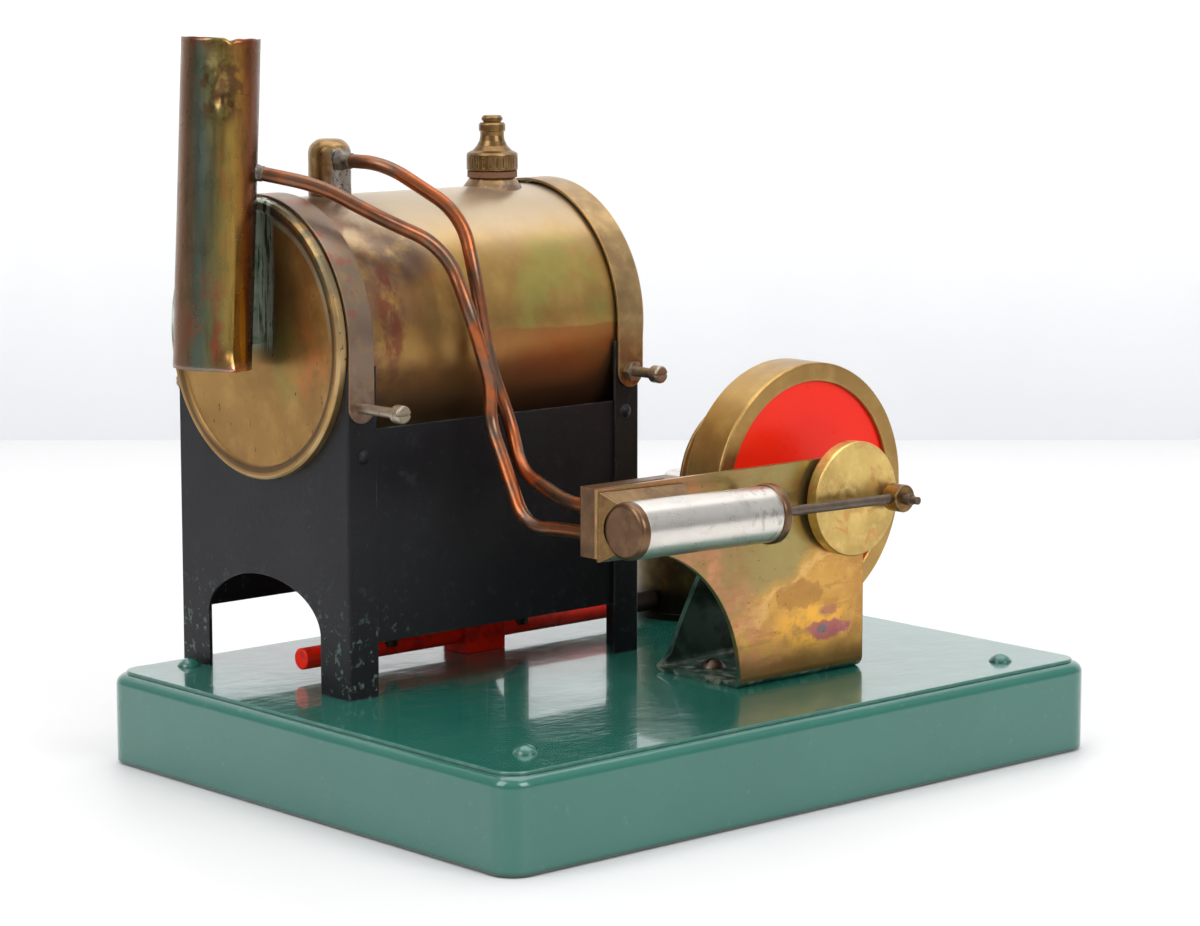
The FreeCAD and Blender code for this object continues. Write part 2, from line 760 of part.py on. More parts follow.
def cylinder_port_face():
    """The block between the barrel and the port face, with bevelled sides."""
    lip = face_y - 0.8
    top = cylinder_y + 2.6
    lower = Part.makePolygon([point(x, lip, z) for x, z in corners(face_half_length, face_half_height)])
    upper = Part.makePolygon([point(x, top, z) for x, z in corners(face_half_length - 2.2, 5.0)])
    block = Part.makeLoft([lower, upper], True, True)
    plate = box((-face_half_length, face_half_length), (lip, face_y), (-face_half_height, face_half_height))
    block = block.fuse(plate).removeSplitter()
    block = block.cut(rod_x(cylinder_radius + 0.02, (-20, 60), cylinder_y, 0))
    socket = rod_y(trunnion_radius, (face_y - 1.4, face_y), 0, 0)
    return block.cut(port_passage()).cut(socket)


def corners(half_length, half_height):
    signs = [(-1, -1), (1, -1), (1, 1), (-1, 1), (-1, -1)]
    return [(half_length * a, half_height * b) for a, b in signs]


def head_cap():
    cap = rod_x(cylinder_radius, (head_start, barrel_start), cylinder_y, 0)
    return fillet(cap, 1.2, lambda c: near(c.x, head_start))


def gland_cap():
    cap = rod_x(cylinder_radius + 0.45, (barrel_end, gland_end), cylinder_y, 0)
    cap = fillet(cap, 0.6, lambda c: near(c.x, gland_end) or near(c.x, barrel_end))
    return cap.cut(rod_x(rod_radius + 0.05, (barrel_end, gland_end), cylinder_y, 0))


spring_start = port_block_back + 0.3
spring_end = spring_start + 6.0


def trunnion_pin():
    return rod_y(trunnion_radius, (face_y - 1.4, spring_end + 3.0), 0, 0)


def trunnion_nut():
    washer = rod_y(3.2, (spring_end, spring_end + 0.6), 0, 0)
    nut = hexagon(5.0, 2.0, point(0, spring_end + 0.6, 0), Y)
    return washer.fuse(nut).cut(rod_y(trunnion_radius, (spring_end, spring_end + 3), 0, 0))


save("cylinder_barrel", tilted(cylinder_barrel()))
save("cylinder_port_face", tilted(cylinder_port_face()))
save("cylinder_head_cap", tilted(head_cap()))
save("cylinder_gland_cap", tilted(gland_cap()))
save("trunnion_pin", tilted(trunnion_pin()))
save("trunnion_nut", tilted(trunnion_nut()))
save("trunnion_spring", tilted(coil(2.2, 0.4, spring_start, spring_end, 5, point(0, 0, 0), Y)))

# Piston, rod and big end ----------------------------------------------------------------
piston_x = (14.8, 27.4)
eye_radius = 3.2
eye_y = (cylinder_y - 2.2, cylinder_y + 2.2)
stud_radius = 1.3


def piston():
    body = rod_x(bore_radius - 0.05, piston_x, cylinder_y, 0)
    for start in (piston_x[0] + 3, piston_x[1] - 4):
        ring = rod_x(bore_radius, (start, start + 1), cylinder_y, 0)
        body = body.cut(ring.cut(rod_x(bore_radius - 0.7, (start, start + 1), cylinder_y, 0)))
    return body.cut(rod_x(rod_radius, (piston_x[1] - 6, piston_x[1]), cylinder_y, 0))


def piston_rod():
    return rod_x(rod_radius, (piston_x[1] - 6, rod_reach - 2.2), cylinder_y, 0)


def big_end_eye():
    eye = rod_y(eye_radius, eye_y, rod_reach, 0)
    eye = fillet(eye, 0.4, lambda c: near(c.y, eye_y[0]) or near(c.y, eye_y[1]))
    eye = eye.cut(rod_y(stud_radius, eye_y, rod_reach, 0))
    return eye.cut(rod_x(rod_radius, (rod_reach - 5, rod_reach - 2.2), cylinder_y, 0))


def big_end_stud():
    """The outer half of the crank pin; the inner half is on the disc."""
    shank = rod_y(stud_radius, (eye_y[0] - 2.0, eye_y[1]), rod_reach, 0)
    tip = rod_y(0.9, (eye_y[0] - 4.0, eye_y[0] - 2.0), rod_reach, 0)
    return shank.fuse(tip)


save("piston", tilted(piston()))
save("piston_rod", tilted(piston_rod()))
save("big_end_eye", tilted(big_end_eye()))
save("big_end_stud", tilted(big_end_stud()))

# Crankshaft, flywheel and pulley ----------------------------------------------------------
hub_y = (-35.0, -18.6)
hub_radius = 5.5
web_y = (-30.9, -27.4)
grub_y = -33.2
grub_radius = 1.2
pulley_width = 4.0
shaft_end = -6.4
disc_skin = 1.0            # the shaft stops this far short of the disc's front face


def on_shaft(radius, y):
    return rod_y(radius, y, crank_x, crank_z)


def crankshaft():
    shaft = on_shaft(shaft_radius, (disc_front + disc_skin, shaft_end))
    return fillet(shaft, 0.4, lambda c: near(c.y, shaft_end))


def crank_disc():
    disc = on_shaft(disc_radius, (disc_front, disc_back))
    disc = fillet(disc, 0.4, lambda c: near(c.y, disc_front))
    disc = disc.cut(on_shaft(shaft_radius, (disc_front + disc_skin, disc_back)))
    return disc.cut(rod_y(stud_radius, (disc_front, disc_back), pin_x, pin_z))


def crank_pin():
    """The inner half of the crank pin, which stops just short of the big end's eye."""
    pin = rod_y(stud_radius, (disc_front, disc_back), pin_x, pin_z)
    collar = rod_y(2.2, (eye_y[1] + 0.3, disc_front), pin_x, pin_z)
    return pin.fuse(collar)


def flywheel_rim():
    rim = on_shaft(flywheel_radius, (flywheel_front, flywheel_back))
    rim = rim.cut(on_shaft(rim_inner, (flywheel_front, flywheel_back)))
    return fillet(rim, 0.5, lambda c: near(c.y, flywheel_front) or near(c.y, flywheel_back))


def flywheel_web():
    web = on_shaft(rim_inner, web_y)
    return web.cut(on_shaft(hub_radius, web_y))


def flywheel_hub():
    hub = on_shaft(hub_radius, hub_y)
    hub = fillet(hub, 0.5, lambda c: near(c.y, hub_y[0]) or near(c.y, hub_y[1]))
    return hub.cut(on_shaft(shaft_radius, hub_y)).cut(grub_hole())


def grub_hole():
    return rod_z(grub_radius, (crank_z, crank_z + hub_radius + 1), crank_x, grub_y)


def hub_grub_screw():
    screw = rod_z(grub_radius, (crank_z + 1, crank_z + hub_radius), crank_x, grub_y)
    screw = screw.cut(on_shaft(shaft_radius, hub_y))
    slot = box((crank_x - 1.4, crank_x + 1.4), (grub_y - 0.25, grub_y + 0.25),
               (crank_z + hub_radius - 0.7, crank_z + hub_radius))
    return screw.cut(slot)


def drive_pulley():
    """A disc with a V groove for a driving band and a boss behind it."""
    back = pulley_front + pulley_width
    half = pulley_width / 2
    profile = [(shaft_radius, 0), (pulley_radius, 0), (pulley_radius, 0.6), (pulley_radius - 2.2, half),
               (pulley_radius, pulley_width - 0.6), (pulley_radius, pulley_width), (4.5, pulley_width),
               (4.5, shaft_end - pulley_front - 0.6), (shaft_radius, shaft_end - pulley_front - 0.6)]
    return turned(profile, point(crank_x, pulley_front, crank_z), Y)


save("crankshaft", crankshaft())
save("crank_disc", crank_disc())
save("crank_pin", crank_pin())
save("flywheel_rim", flywheel_rim())
save("flywheel_web", flywheel_web())
save("flywheel_hub", flywheel_hub())
save("hub_grub_screw", hub_grub_screw())
save("drive_pulley", drive_pulley())

# Spirit burner ---------------------------------------------------------------------------
tank_wall = 0.6
tank_bottom = deck_z + sliding_gap
neck_radius = 5.5
tank_cap_radius = 7.2
tank_cap_z = (53.0, 57.0)
tube_start = firebox_front + 6.9
wick_places = (-38.0, -11.0, 2.0)
wick_radius = 3.0
wick_top = 41.5
foot_x = (-17.0, -5.0)


def burner_tank():
    x, y = tank_centre
    outside = rod_z(tank_radius, (tank_bottom, tank_top), x, y)
    outside = fillet(outside, 1.2, lambda c: near(c.z, tank_top))
    outside = outside.fuse(rod_z(tank_radius + 0.5, (tank_bottom, tank_bottom + 1.6), x, y))
    inside = rod_z(tank_radius - tank_wall, (tank_bottom + tank_wall, tank_top - tank_wall), x, y)
    mouth = rod_z(neck_radius, (tank_top - tank_wall, tank_top), x, y)
    return outside.cut(inside).cut(mouth).cut(feed_bore(burner_tube_radius))


def feed_bore(radius):
    return rod_x(radius, (tube_start, tank_centre[0] - tank_radius + 1.2), burner_y, burner_z)


def tank_cap():
    x, y = tank_centre
    gap = 0.05
    skirt = rod_z(tank_cap_radius, (tank_cap_z[0] + gap, tank_cap_z[1]), x, y)
    skirt = fillet(skirt, 0.8, lambda c: near(c.z, tank_cap_z[1]))
    plug = rod_z(neck_radius - 0.1, (tank_cap_z[0] - 3, tank_cap_z[0] + gap), x, y)
    return skirt.fuse(plug)


def burner_tube():
    """The feed tube, closed at its far end, with a hole under each wick tube."""
    tube = feed_bore(burner_tube_radius)
    end = tank_centre[0] - tank_radius + 1.2
    tube = tube.cut(rod_x(burner_tube_radius - 0.6, (tube_start + 1, end), burner_y, burner_z))
    tube = fillet(tube, 0.4, lambda c: near(c.x, tube_start))
    for x in wick_places:
        tube = tube.cut(rod_z(1.6, (burner_z, burner_z + burner_tube_radius), x, burner_y))
    return tube


def wick_tubes():
    solids = []
    for x in wick_places:
        tube = rod_z(wick_radius, (burner_z, wick_top), x, burner_y)
        tube = tube.cut(rod_z(wick_radius - 0.5, (burner_z, wick_top), x, burner_y))
        tube = tube.cut(feed_bore(burner_tube_radius)).cut(burner_foot())
        solids.append(max(tube.Solids, key=lambda solid: solid.Volume))
    return solids


def wicks():
    solids = []
    for x in wick_places:
        wick = rod_z(wick_radius - 0.55, (burner_z + burner_tube_radius + 0.6, wick_top + 1.5), x, burner_y)
        wick = fillet(wick, 0.9, lambda c: near(c.z, wick_top + 1.5))
        solids.append(wick.cut(burner_foot()))
    return solids


def burner_foot():
    """The block that carries the feed tube on the base plate."""
    foot = box(foot_x, (burner_y - 4, burner_y + 4), (tank_bottom, burner_z + burner_tube_radius + 0.5))
    foot = foot.cut(feed_bore(burner_tube_radius))
    return foot.cut(rod_z(1.6, (burner_z, burner_z + 4), wick_places[1], burner_y))


save("burner_tank", burner_tank())
save("tank_cap", tank_cap())
save("burner_tube", burner_tube())
save_group("wick_tubes", wick_tubes())
save_group("wicks", wicks())
save("burner_foot", burner_foot())
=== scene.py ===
import math
import random

import bmesh
import bpy
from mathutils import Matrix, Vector, noise


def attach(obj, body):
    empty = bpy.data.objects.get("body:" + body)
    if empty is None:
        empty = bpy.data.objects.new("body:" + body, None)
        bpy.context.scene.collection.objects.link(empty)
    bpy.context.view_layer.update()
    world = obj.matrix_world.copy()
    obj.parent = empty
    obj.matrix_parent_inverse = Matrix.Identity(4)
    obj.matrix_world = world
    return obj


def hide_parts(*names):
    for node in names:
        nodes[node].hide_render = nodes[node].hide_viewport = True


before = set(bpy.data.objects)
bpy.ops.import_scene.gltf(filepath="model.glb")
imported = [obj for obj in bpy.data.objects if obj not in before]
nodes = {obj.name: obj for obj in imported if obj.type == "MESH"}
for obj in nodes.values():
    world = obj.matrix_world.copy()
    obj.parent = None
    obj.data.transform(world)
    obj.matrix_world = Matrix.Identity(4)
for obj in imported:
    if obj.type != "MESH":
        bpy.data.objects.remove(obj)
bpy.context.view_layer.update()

random.seed(7)
mm = 0.001


def box(name):
    """A CAD node's lowest and highest corners, in millimetres to the nearest hundredth."""
    node = nodes[name]
    places = [node.matrix_world @ Vector(corner) / mm for corner in node.bound_box]
    low = [round(min(place[axis] for place in places), 2) for axis in range(3)]
    high = [round(max(place[axis] for place in places), 2) for axis in range(3)]
    return low, high


# Places and sizes on the engine, in millimetres -------------------------------------------
cap_low, cap_high = box("boiler_front_cap")
wicks_low, wicks_high = box("wicks")
board_top = box("base_board")[1][2]
boiler_y = (cap_low[1] + cap_high[1]) / 2
boiler_z = (cap_low[2] + cap_high[2]) / 2
front_cap_x = -71
dome_x = -49.2
bracket_front_y = -42
no_matter = 1e6                                # a scale that leaves an axis out of a distance

chimney_x = -81
chimney_foot = Vector((-82.8, boiler_y, 94.2))
chimney_head = Vector((-79.0, boiler_y, 167.5))
chimney_radius = 8.9
chimney_wall = 0.5
chimney_sides = 120
chimney_steps = 90
chimney_margin = 0.12                          # keeps the dented tube inside the plain one
chimney_end_margin = 0.15

strand_margin = 0.1
wick_places = (-38.0, -11.0, 2.0)
wick_y = (wicks_low[1] + wicks_high[1]) / 2
wick_low = wicks_low[2] + strand_margin
wick_high = wicks_high[2] - strand_margin
wick_bundle = 1.9
wick_circles = ((6, 0.75), (12, 1.45), (16, wick_bundle))    # strands in a circle, and its radius
strand_radius = 0.34
strand_steps = 9
strand_sides = 7
strand_twist = 1.4
strand_splay = 0.14
strand_taper = 0.3
strand_uneven = 0.5

steam_joint = (dome_x, 34.2, 139.4)
steam_heading = (0.257, -0.966, -0.031)
exhaust_joint = (-74.9, 33.0, 138.0)
exhaust_heading = (0.678, -0.709, -0.196)
solder_inside = 1.65
solder_film = 0.12
solder_lumps = 0.5
solder_steps = 12
solder_sides = 40

# Camera and room, in metres --------------------------------------------------------------
camera_place = Vector((-546.15, -608.17, 191.39)) * mm
camera_target = Vector((173.02, 194.09, 30.0)) * mm
camera_lens = 107.22
view_along = Vector((0.6675, 0.7446, 0.0))
wall_distance = 1.336
table_half = 2.5
table_depth = 3.0
wall_height = 1.6


# Colours and node recipes ---------------------------------------------------------------
def colour(red, green, blue):
    """A display colour from 0 to 255 as the linear colour that shaders take."""
    def linear(value):
        value = value / 255
        return value / 12.92 if value <= 0.04045 else ((value + 0.055) / 1.055) ** 2.4
    return (linear(red), linear(green), linear(blue), 1.0)


class Recipe:
    """A material being put together, with short names for the nodes it uses.  Lengths are in
    millimetres and places are the object's own coordinates."""

    def __init__(self, name, metallic=0.0, roughness=0.4):
        self.material = bpy.data.materials.new(name)
        self.material.use_nodes = True
        self.tree = self.material.node_tree
        self.shader = self.tree.nodes["Principled BSDF"]
        self.shader.inputs["Metallic"].default_value = metallic
        self.shader.inputs["Roughness"].default_value = roughness
        coordinates = self.add("ShaderNodeTexCoord")
        millimetres = self.add("ShaderNodeVectorMath", operation="SCALE")
        millimetres.inputs["Scale"].default_value = 1000
        self.join(coordinates.outputs["Object"], millimetres.inputs[0])
        self.place = millimetres.outputs[0]
        axes = self.add("ShaderNodeSeparateXYZ")
        self.join(self.place, axes.inputs[0])
        self.x, self.y, self.z = axes.outputs

    def add(self, kind, **settings):
        node = self.tree.nodes.new(kind)
        for key, value in settings.items():
            setattr(node, key, value)
        return node

    def join(self, value, socket):
        if isinstance(value, bpy.types.NodeSocket):
            self.tree.links.new(value, socket)
        else:
            socket.default_value = value

    def noise(self, size, detail=4, roughness=0.55, distortion=0.0, stretch=(1, 1, 1), offset=0.0):
        """Cloudy noise from 0 to 1 whose blotches are about that size."""
        mapping = self.add("ShaderNodeMapping")
        mapping.inputs["Scale"].default_value = [1 / factor for factor in stretch]
        mapping.inputs["Location"].default_value = (offset, 2.3 * offset, -1.7 * offset)
        self.join(self.place, mapping.inputs[0])
        node = self.add("ShaderNodeTexNoise")
        node.inputs["Scale"].default_value = 1 / size
        node.inputs["Detail"].default_value = detail
        node.inputs["Roughness"].default_value = roughness
        node.inputs["Distortion"].default_value = distortion
        self.join(mapping.outputs[0], node.inputs["Vector"])
        return node.outputs["Fac"]

    def step(self, value, low, high):
        """0 at low, 1 at high, smooth between them; low may be the larger."""
        node = self.add("ShaderNodeMapRange", interpolation_type="SMOOTHSTEP")
        self.join(value, node.inputs["Value"])
        rising = high > low
        node.inputs["From Min"].default_value = low if rising else high
        node.inputs["From Max"].default_value = high if rising else low
        node.inputs["To Min"].default_value = 0 if rising else 1
        node.inputs["To Max"].default_value = 1 if rising else 0
        return node.outputs["Result"]

    def maths(self, operation, first, second):
        node = self.add("ShaderNodeMath", operation=operation)
        self.join(first, node.inputs[0])
        self.join(second, node.inputs[1])
        return node.outputs[0]

    def times(self, first, second):
        return self.maths("MULTIPLY", first, second)

    def plus(self, first, second):
        return self.maths("ADD", first, second)

    def angle(self, centre_x, centre_y):
        """The angle in degrees about an upright line, from -180 to 180."""
        turn = self.maths("ARCTAN2", self.plus(self.y, -centre_y), self.plus(self.x, -centre_x))
        return self.times(turn, 180 / math.pi)

    def distance(self, centre, scale):
        """How far a place is from a point, with each axis divided by its scale."""
        offset = self.add("ShaderNodeVectorMath", operation="SUBTRACT")
        self.join(self.place, offset.inputs[0])
        offset.inputs[1].default_value = centre
        shrunk = self.add("ShaderNodeVectorMath", operation="DIVIDE")
        self.join(offset.outputs[0], shrunk.inputs[0])
        shrunk.inputs[1].default_value = scale
        length = self.add("ShaderNodeVectorMath", operation="LENGTH")
        self.join(shrunk.outputs[0], length.inputs[0])
        return length.outputs["Value"]

    def mix(self, amount, first, second):
        node = self.add("ShaderNodeMix", data_type="RGBA")
        self.join(amount, node.inputs["Factor"])
        self.join(first, node.inputs["A"])
        self.join(second, node.inputs["B"])
        return node.outputs["Result"]

    def tint(self, base, mask, strength, shade):
        """The base colour with a shade laid over it at that strength where the mask is 1."""
        return self.mix(self.times(mask, strength), base, shade)

    def bands(self, value, stops):
        """A colour ramp through (place, colour) stops."""
        node = self.add("ShaderNodeValToRGB")
        self.join(value, node.inputs["Fac"])
        ramp = node.color_ramp
        ramp.elements[0].position, ramp.elements[0].color = stops[0]
        ramp.elements[1].position, ramp.elements[1].color = stops[-1]
        for position, shade in stops[1:-1]:
            ramp.elements.new(position).color = shade
        return node.outputs["Color"]

    def edges(self, width):
        """1 on sharp edges and 0 on open surface."""
        rounded = self.add("ShaderNodeBevel", samples=4)
        rounded.inputs["Radius"].default_value = width * mm
        geometry = self.add("ShaderNodeNewGeometry")
        dot = self.add("ShaderNodeVectorMath", operation="DOT_PRODUCT")
        self.join(rounded.outputs[0], dot.inputs[0])
        self.join(geometry.outputs["Normal"], dot.inputs[1])
        return self.step(dot.outputs["Value"], 0.985, 0.85)

    def paint(self, value, brightness=1.0):
        """The surface colour, made brighter by a factor and kept from passing white."""
        lifted = self.add("ShaderNodeVectorMath", operation="SCALE")
        lifted.inputs["Scale"].default_value = brightness
        self.join(value, lifted.inputs[0])
        kept = self.add("ShaderNodeVectorMath", operation="MINIMUM")
        kept.inputs[1].default_value = (1, 1, 1)
        self.join(lifted.outputs[0], kept.inputs[0])
        self.join(kept.outputs[0], self.shader.inputs["Base Color"])

    def rough(self, value, low, high):
        """Roughness that runs between two values as the mask goes from 0 to 1."""
        node = self.add("ShaderNodeMapRange")
        self.join(value, node.inputs["Value"])
        node.inputs["To Min"].default_value = low
        node.inputs["To Max"].default_value = high
        self.join(node.outputs["Result"], self.shader.inputs["Roughness"])

    def relief(self, *layers, soft_edge=0.0):
        """Bumps in (height 0 to 1, depth in millimetres) layers, over edges rounded in shading."""
        normal = None
        if soft_edge:
            rounded = self.add("ShaderNodeBevel", samples=4)
            rounded.inputs["Radius"].default_value = soft_edge * mm
            normal = rounded.outputs[0]
        for height, depth in layers:
            bump = self.add("ShaderNodeBump")
            bump.inputs["Strength"].default_value = 1
            bump.inputs["Distance"].default_value = depth * mm
            self.join(height, bump.inputs["Height"])
            if normal is not None:
                self.join(normal, bump.inputs["Normal"])
            normal = bump.outputs[0]
        if normal is not None:
            self.join(normal, self.shader.inputs["Normal"])
        return self.material


# Materials ------------------------------------------------------------------------------
def green_enamel():
    look = Recipe("green_enamel", roughness=0.16)
    cloud = look.noise(45, detail=3)
    fine = look.noise(2.2, detail=3, offset=5)
    base = look.mix(cloud, colour(30, 97, 84), colour(42, 112, 97))
    base = look.tint(base, look.step(fine, 0.64, 0.76), 0.25, colour(90, 132, 117))
    worn = look.times(look.edges(1.2), look.step(look.noise(5, offset=3), 0.45, 0.7))
    base = look.tint(base, worn, 0.5, colour(112, 150, 136))
    # Painted shade: a darker band on the board just under the edge of the top plate.
    painted_shade_under_plate = look.times(look.step(look.z, board_top + 0.25, board_top - 0.05),
                            look.step(look.z, board_top - 0.7, board_top - 0.1))
    base = look.tint(base, painted_shade_under_plate, 0.2, colour(22, 46, 39))
    specks = look.times(look.step(look.noise(1.0, detail=2, offset=23), 0.7, 0.74),
                        look.step(look.x, 10, 50))
    base = look.tint(base, specks, 0.6, colour(24, 48, 42))
    # Painted shade: the board is darker along its bottom edge, where it meets the table.
    foot = look.step(look.z, 1.6, 0.4)
    base = look.tint(base, foot, 0.7, colour(24, 42, 36))
    look.paint(base)
    look.shader.inputs["Coat Weight"].default_value = 0.75
    look.shader.inputs["Coat Roughness"].default_value = 0.05
    look.rough(look.noise(12, offset=9), 0.12, 0.3)
    strokes = look.noise(2.2, detail=3, stretch=(3, 1, 1), offset=14)
    return look.relief((look.noise(17, detail=1), 0.35), (look.noise(5, detail=2, offset=4), 0.12),
                       (strokes, 0.1), (look.noise(1.4, detail=2, offset=6), 0.015), soft_edge=0.8)


def firebox_black():
    look = Recipe("firebox_black", roughness=0.4)
    cloud = look.noise(26, detail=5)
    base = look.mix(cloud, colour(9, 9, 13), colour(19, 19, 24))
    scuffed = look.step(look.noise(7, detail=6, roughness=0.7, offset=2), 0.6, 0.74)
    base = look.tint(base, scuffed, 0.35, colour(56, 58, 63))
    low = look.step(look.z, 50, 26)
    flaking = look.step(look.noise(2.4, detail=5, roughness=0.7, offset=11), 0.58, 0.64)
    on_leg = look.times(low, look.step(look.x, -50, -56))
    chips = look.times(flaking, look.plus(look.times(on_leg, 0.9), look.plus(look.times(low, 0.14), 0.04)))
    base = look.tint(base, chips, 0.8, colour(92, 112, 102))
    flecks = look.step(look.noise(1.1, detail=4, offset=19), 0.68, 0.74)
    pale = look.times(flecks, look.plus(look.times(on_leg, 0.7), 0.08))
    base = look.mix(pale, base, colour(170, 172, 168))
    worn = look.times(look.edges(0.5), look.step(look.noise(6, offset=7), 0.44, 0.6))
    base = look.tint(base, worn, 0.55, colour(104, 98, 92))
    look.paint(base)
    look.shader.inputs["Specular IOR Level"].default_value = 0.32
    look.rough(look.noise(15, offset=6), 0.3, 0.55)
    grain = look.noise(0.9, detail=4, roughness=0.7)
    return look.relief((look.noise(30, detail=1), 0.5), (chips, 0.05), (grain, 0.05), soft_edge=0.35)


def tarnished(look, light, middle, dark, blotch):
    """The soft brown and gold mottling of old brass, as a colour."""
    large = look.noise(blotch * 2.2, detail=3, distortion=0.4)
    small = look.noise(blotch * 0.4, detail=5, roughness=0.6, offset=4)
    base = look.mix(look.step(large, 0.25, 0.75), dark, middle)
    base = look.tint(base, look.step(small, 0.4, 0.8), 0.45, light)
    specks = look.step(look.noise(1.3, detail=3, offset=8), 0.66, 0.74)
    return look.tint(base, specks, 0.3, dark)


def boiler_brass():
    look = Recipe("boiler_brass", metallic=0.9, roughness=0.34)
    base = tarnished(look, colour(158, 128, 76), colour(140, 110, 60), colour(118, 90, 50), blotch=16)
    # Painted highlight: the top of the boiler is paler and greyer.
    crown_highlight = look.step(look.plus(look.z, look.times(look.noise(16, offset=6), 8)), 118, 134)
    base = look.tint(base, crown_highlight, 0.8, colour(142, 130, 112))
    # Painted highlight: a brighter band along the top of the boiler towards the engine end.
    ridge_highlight = look.times(look.step(look.z, 128, 134), look.step(look.x, -40, 0))
    base = look.tint(base, ridge_highlight, 0.5, colour(186, 170, 152))
    towards_wheel = look.times(look.step(look.x, -34, -8), look.step(look.z, 124, 116))
    green = look.times(look.step(look.noise(18, offset=21), 0.44, 0.6), towards_wheel)
    base = look.tint(base, green, 0.55, colour(124, 126, 64))
    front = look.times(look.step(look.x, -38, -60),
                       look.step(look.noise(8, detail=6, offset=13), 0.36, 0.58))
    base = look.tint(base, front, 0.85, colour(92, 66, 52))
    cloud = look.noise(5, detail=5, offset=17)
    plum = look.times(look.step(look.distance((-50, 14, 119), (13, 16, 8)), 1.1, 0.4),
                      look.step(cloud, 0.3, 0.5))
    base = look.tint(base, plum, 0.7, colour(80, 66, 62))
    rust = look.step(look.noise(3, detail=6, roughness=0.65, stretch=(1, 1, 2), offset=5), 0.4, 0.58)
    red = look.times(look.step(look.distance((-56, 7, 107), (4.5, 12, 15)), 1.1, 0.5), rust)
    base = look.tint(base, red, 0.75, colour(92, 44, 34))
    wavy = look.plus(look.z, look.times(look.noise(26, detail=3, offset=2), 6))
    right = look.step(look.x, -44, -14)
    ruddy = look.times(look.step(wavy, 104.0, 103.2), right)
    base = look.tint(base, ruddy, 0.7, colour(124, 74, 44))
    low = look.step(wavy, 102, 88)
    base = look.tint(base, low, 0.7, colour(112, 78, 58))
    look.paint(base, 1.9)
    look.rough(look.noise(7, detail=6, offset=31), 0.26, 0.42)
    brushed = look.noise(0.5, detail=2, stretch=(1, 14, 14))
    return look.relief((look.noise(40, detail=1), 0.4), (brushed, 0.008), (look.noise(1.6, offset=3), 0.015),
                       soft_edge=0.25)


def dome_brass():
    """The steam dome, with solder run down its pipe side."""
    look = Recipe("dome_brass", metallic=0.9, roughness=0.26)
    base = tarnished(look, colour(164, 138, 90), colour(130, 104, 64), colour(82, 58, 40), blotch=5)
    round_axis = look.plus(look.angle(dome_x, boiler_y), look.times(look.noise(2.4, detail=4, offset=5), 44))
    run = look.times(look.step(round_axis, -110, -96), look.step(round_axis, 20, 4))
    run = look.times(run, look.step(look.plus(look.z, look.times(look.noise(2, offset=15), 3)), 144, 142.4))
    base = look.tint(base, run, 0.9, colour(108, 103, 97))
    dross = look.times(run, look.step(look.noise(1.1, offset=9), 0.54, 0.6))
    base = look.tint(base, dross, 0.8, colour(62, 54, 48))
    foot = look.step(look.z, 132.6, 131.4)
    base = look.tint(base, foot, 0.7, colour(84, 66, 54))
    look.paint(base, 2.05)
    look.rough(look.noise(3, offset=31), 0.18, 0.4)
    return look.relief((look.times(run, look.noise(1.8, offset=2)), 0.25), (look.noise(1.2, offset=3), 0.02))


def cap_brass():
    look = Recipe("cap_brass", metallic=0.9, roughness=0.33)
    base = tarnished(look, colour(168, 134, 78), colour(146, 112, 62), colour(116, 86, 48), blotch=15)
    shaded = look.step(look.distance((front_cap_x, 28, 107), (9, 8, 15)), 1.2, 0.5)
    base = look.tint(base, shaded, 0.7, colour(88, 70, 36))
    from_axis = look.distance((0, boiler_y, boiler_z), (no_matter, 1, 1))
    patchy = look.step(look.noise(9, detail=5, offset=5), 0.3, 0.6)
    upper = look.step(look.z, 96, 122)
    groove = look.times(look.step(from_axis, 28.6, 29.2), look.step(from_axis, 30.6, 30.0))
    base = look.tint(base, groove, 0.75, colour(58, 46, 36))
    silver = look.times(look.step(from_axis, 27.0, 27.6), look.step(from_axis, 28.8, 28.2))
    silver = look.times(look.times(silver, upper), look.plus(look.times(patchy, 0.6), 0.3))
    base = look.mix(silver, base, colour(150, 156, 142))
    rim = look.step(from_axis, 30.7, 31.2)
    base = look.tint(base, rim, look.plus(look.times(patchy, 0.4), 0.2), colour(176, 152, 112))
    sooty = look.times(look.times(look.step(from_axis, 28.4, 29.4), upper), look.step(patchy, 0.1, 0.7))
    base = look.tint(base, sooty, 0.75, colour(62, 66, 56))
    beside = look.times(look.step(look.y, 30.0, 31.6), look.step(look.z, 94, 101))
    lines = look.noise(1.3, detail=5, roughness=0.7, stretch=(1, 1, 9), offset=3)
    base = look.tint(base, beside, 0.85, colour(66, 98, 72))
    scratched = look.times(look.times(beside, look.step(lines, 0.42, 0.52)), look.step(look.z, 96, 103))
    base = look.tint(base, scratched, 0.9, colour(196, 204, 192))
    olive = look.step(look.distance((front_cap_x, 26, 96), (9, 6, 11)), 1.2, 0.4)
    base = look.tint(base, olive, 0.4, colour(118, 122, 62))
    amber = look.times(look.step(look.noise(5, detail=5, offset=23), 0.4, 0.6),
                       look.step(look.distance((front_cap_x, 19, 96), (9, 9, 9)), 1.3, 0.4))
    base = look.tint(base, amber, 0.45, colour(168, 104, 56))
    flecks = look.step(look.noise(1.2, detail=2, stretch=(1, 1, 2), offset=33), 0.68, 0.73)
    base = look.tint(base, flecks, 0.75, colour(58, 42, 28))
    look.paint(base, 1.5)
    look.rough(look.noise(6, detail=6, offset=31), 0.27, 0.46)
    return look.relief((look.noise(26, detail=1), 0.4), (look.times(beside, lines), 0.12),
                       (look.noise(1.6, offset=3), 0.02), soft_edge=0.3)


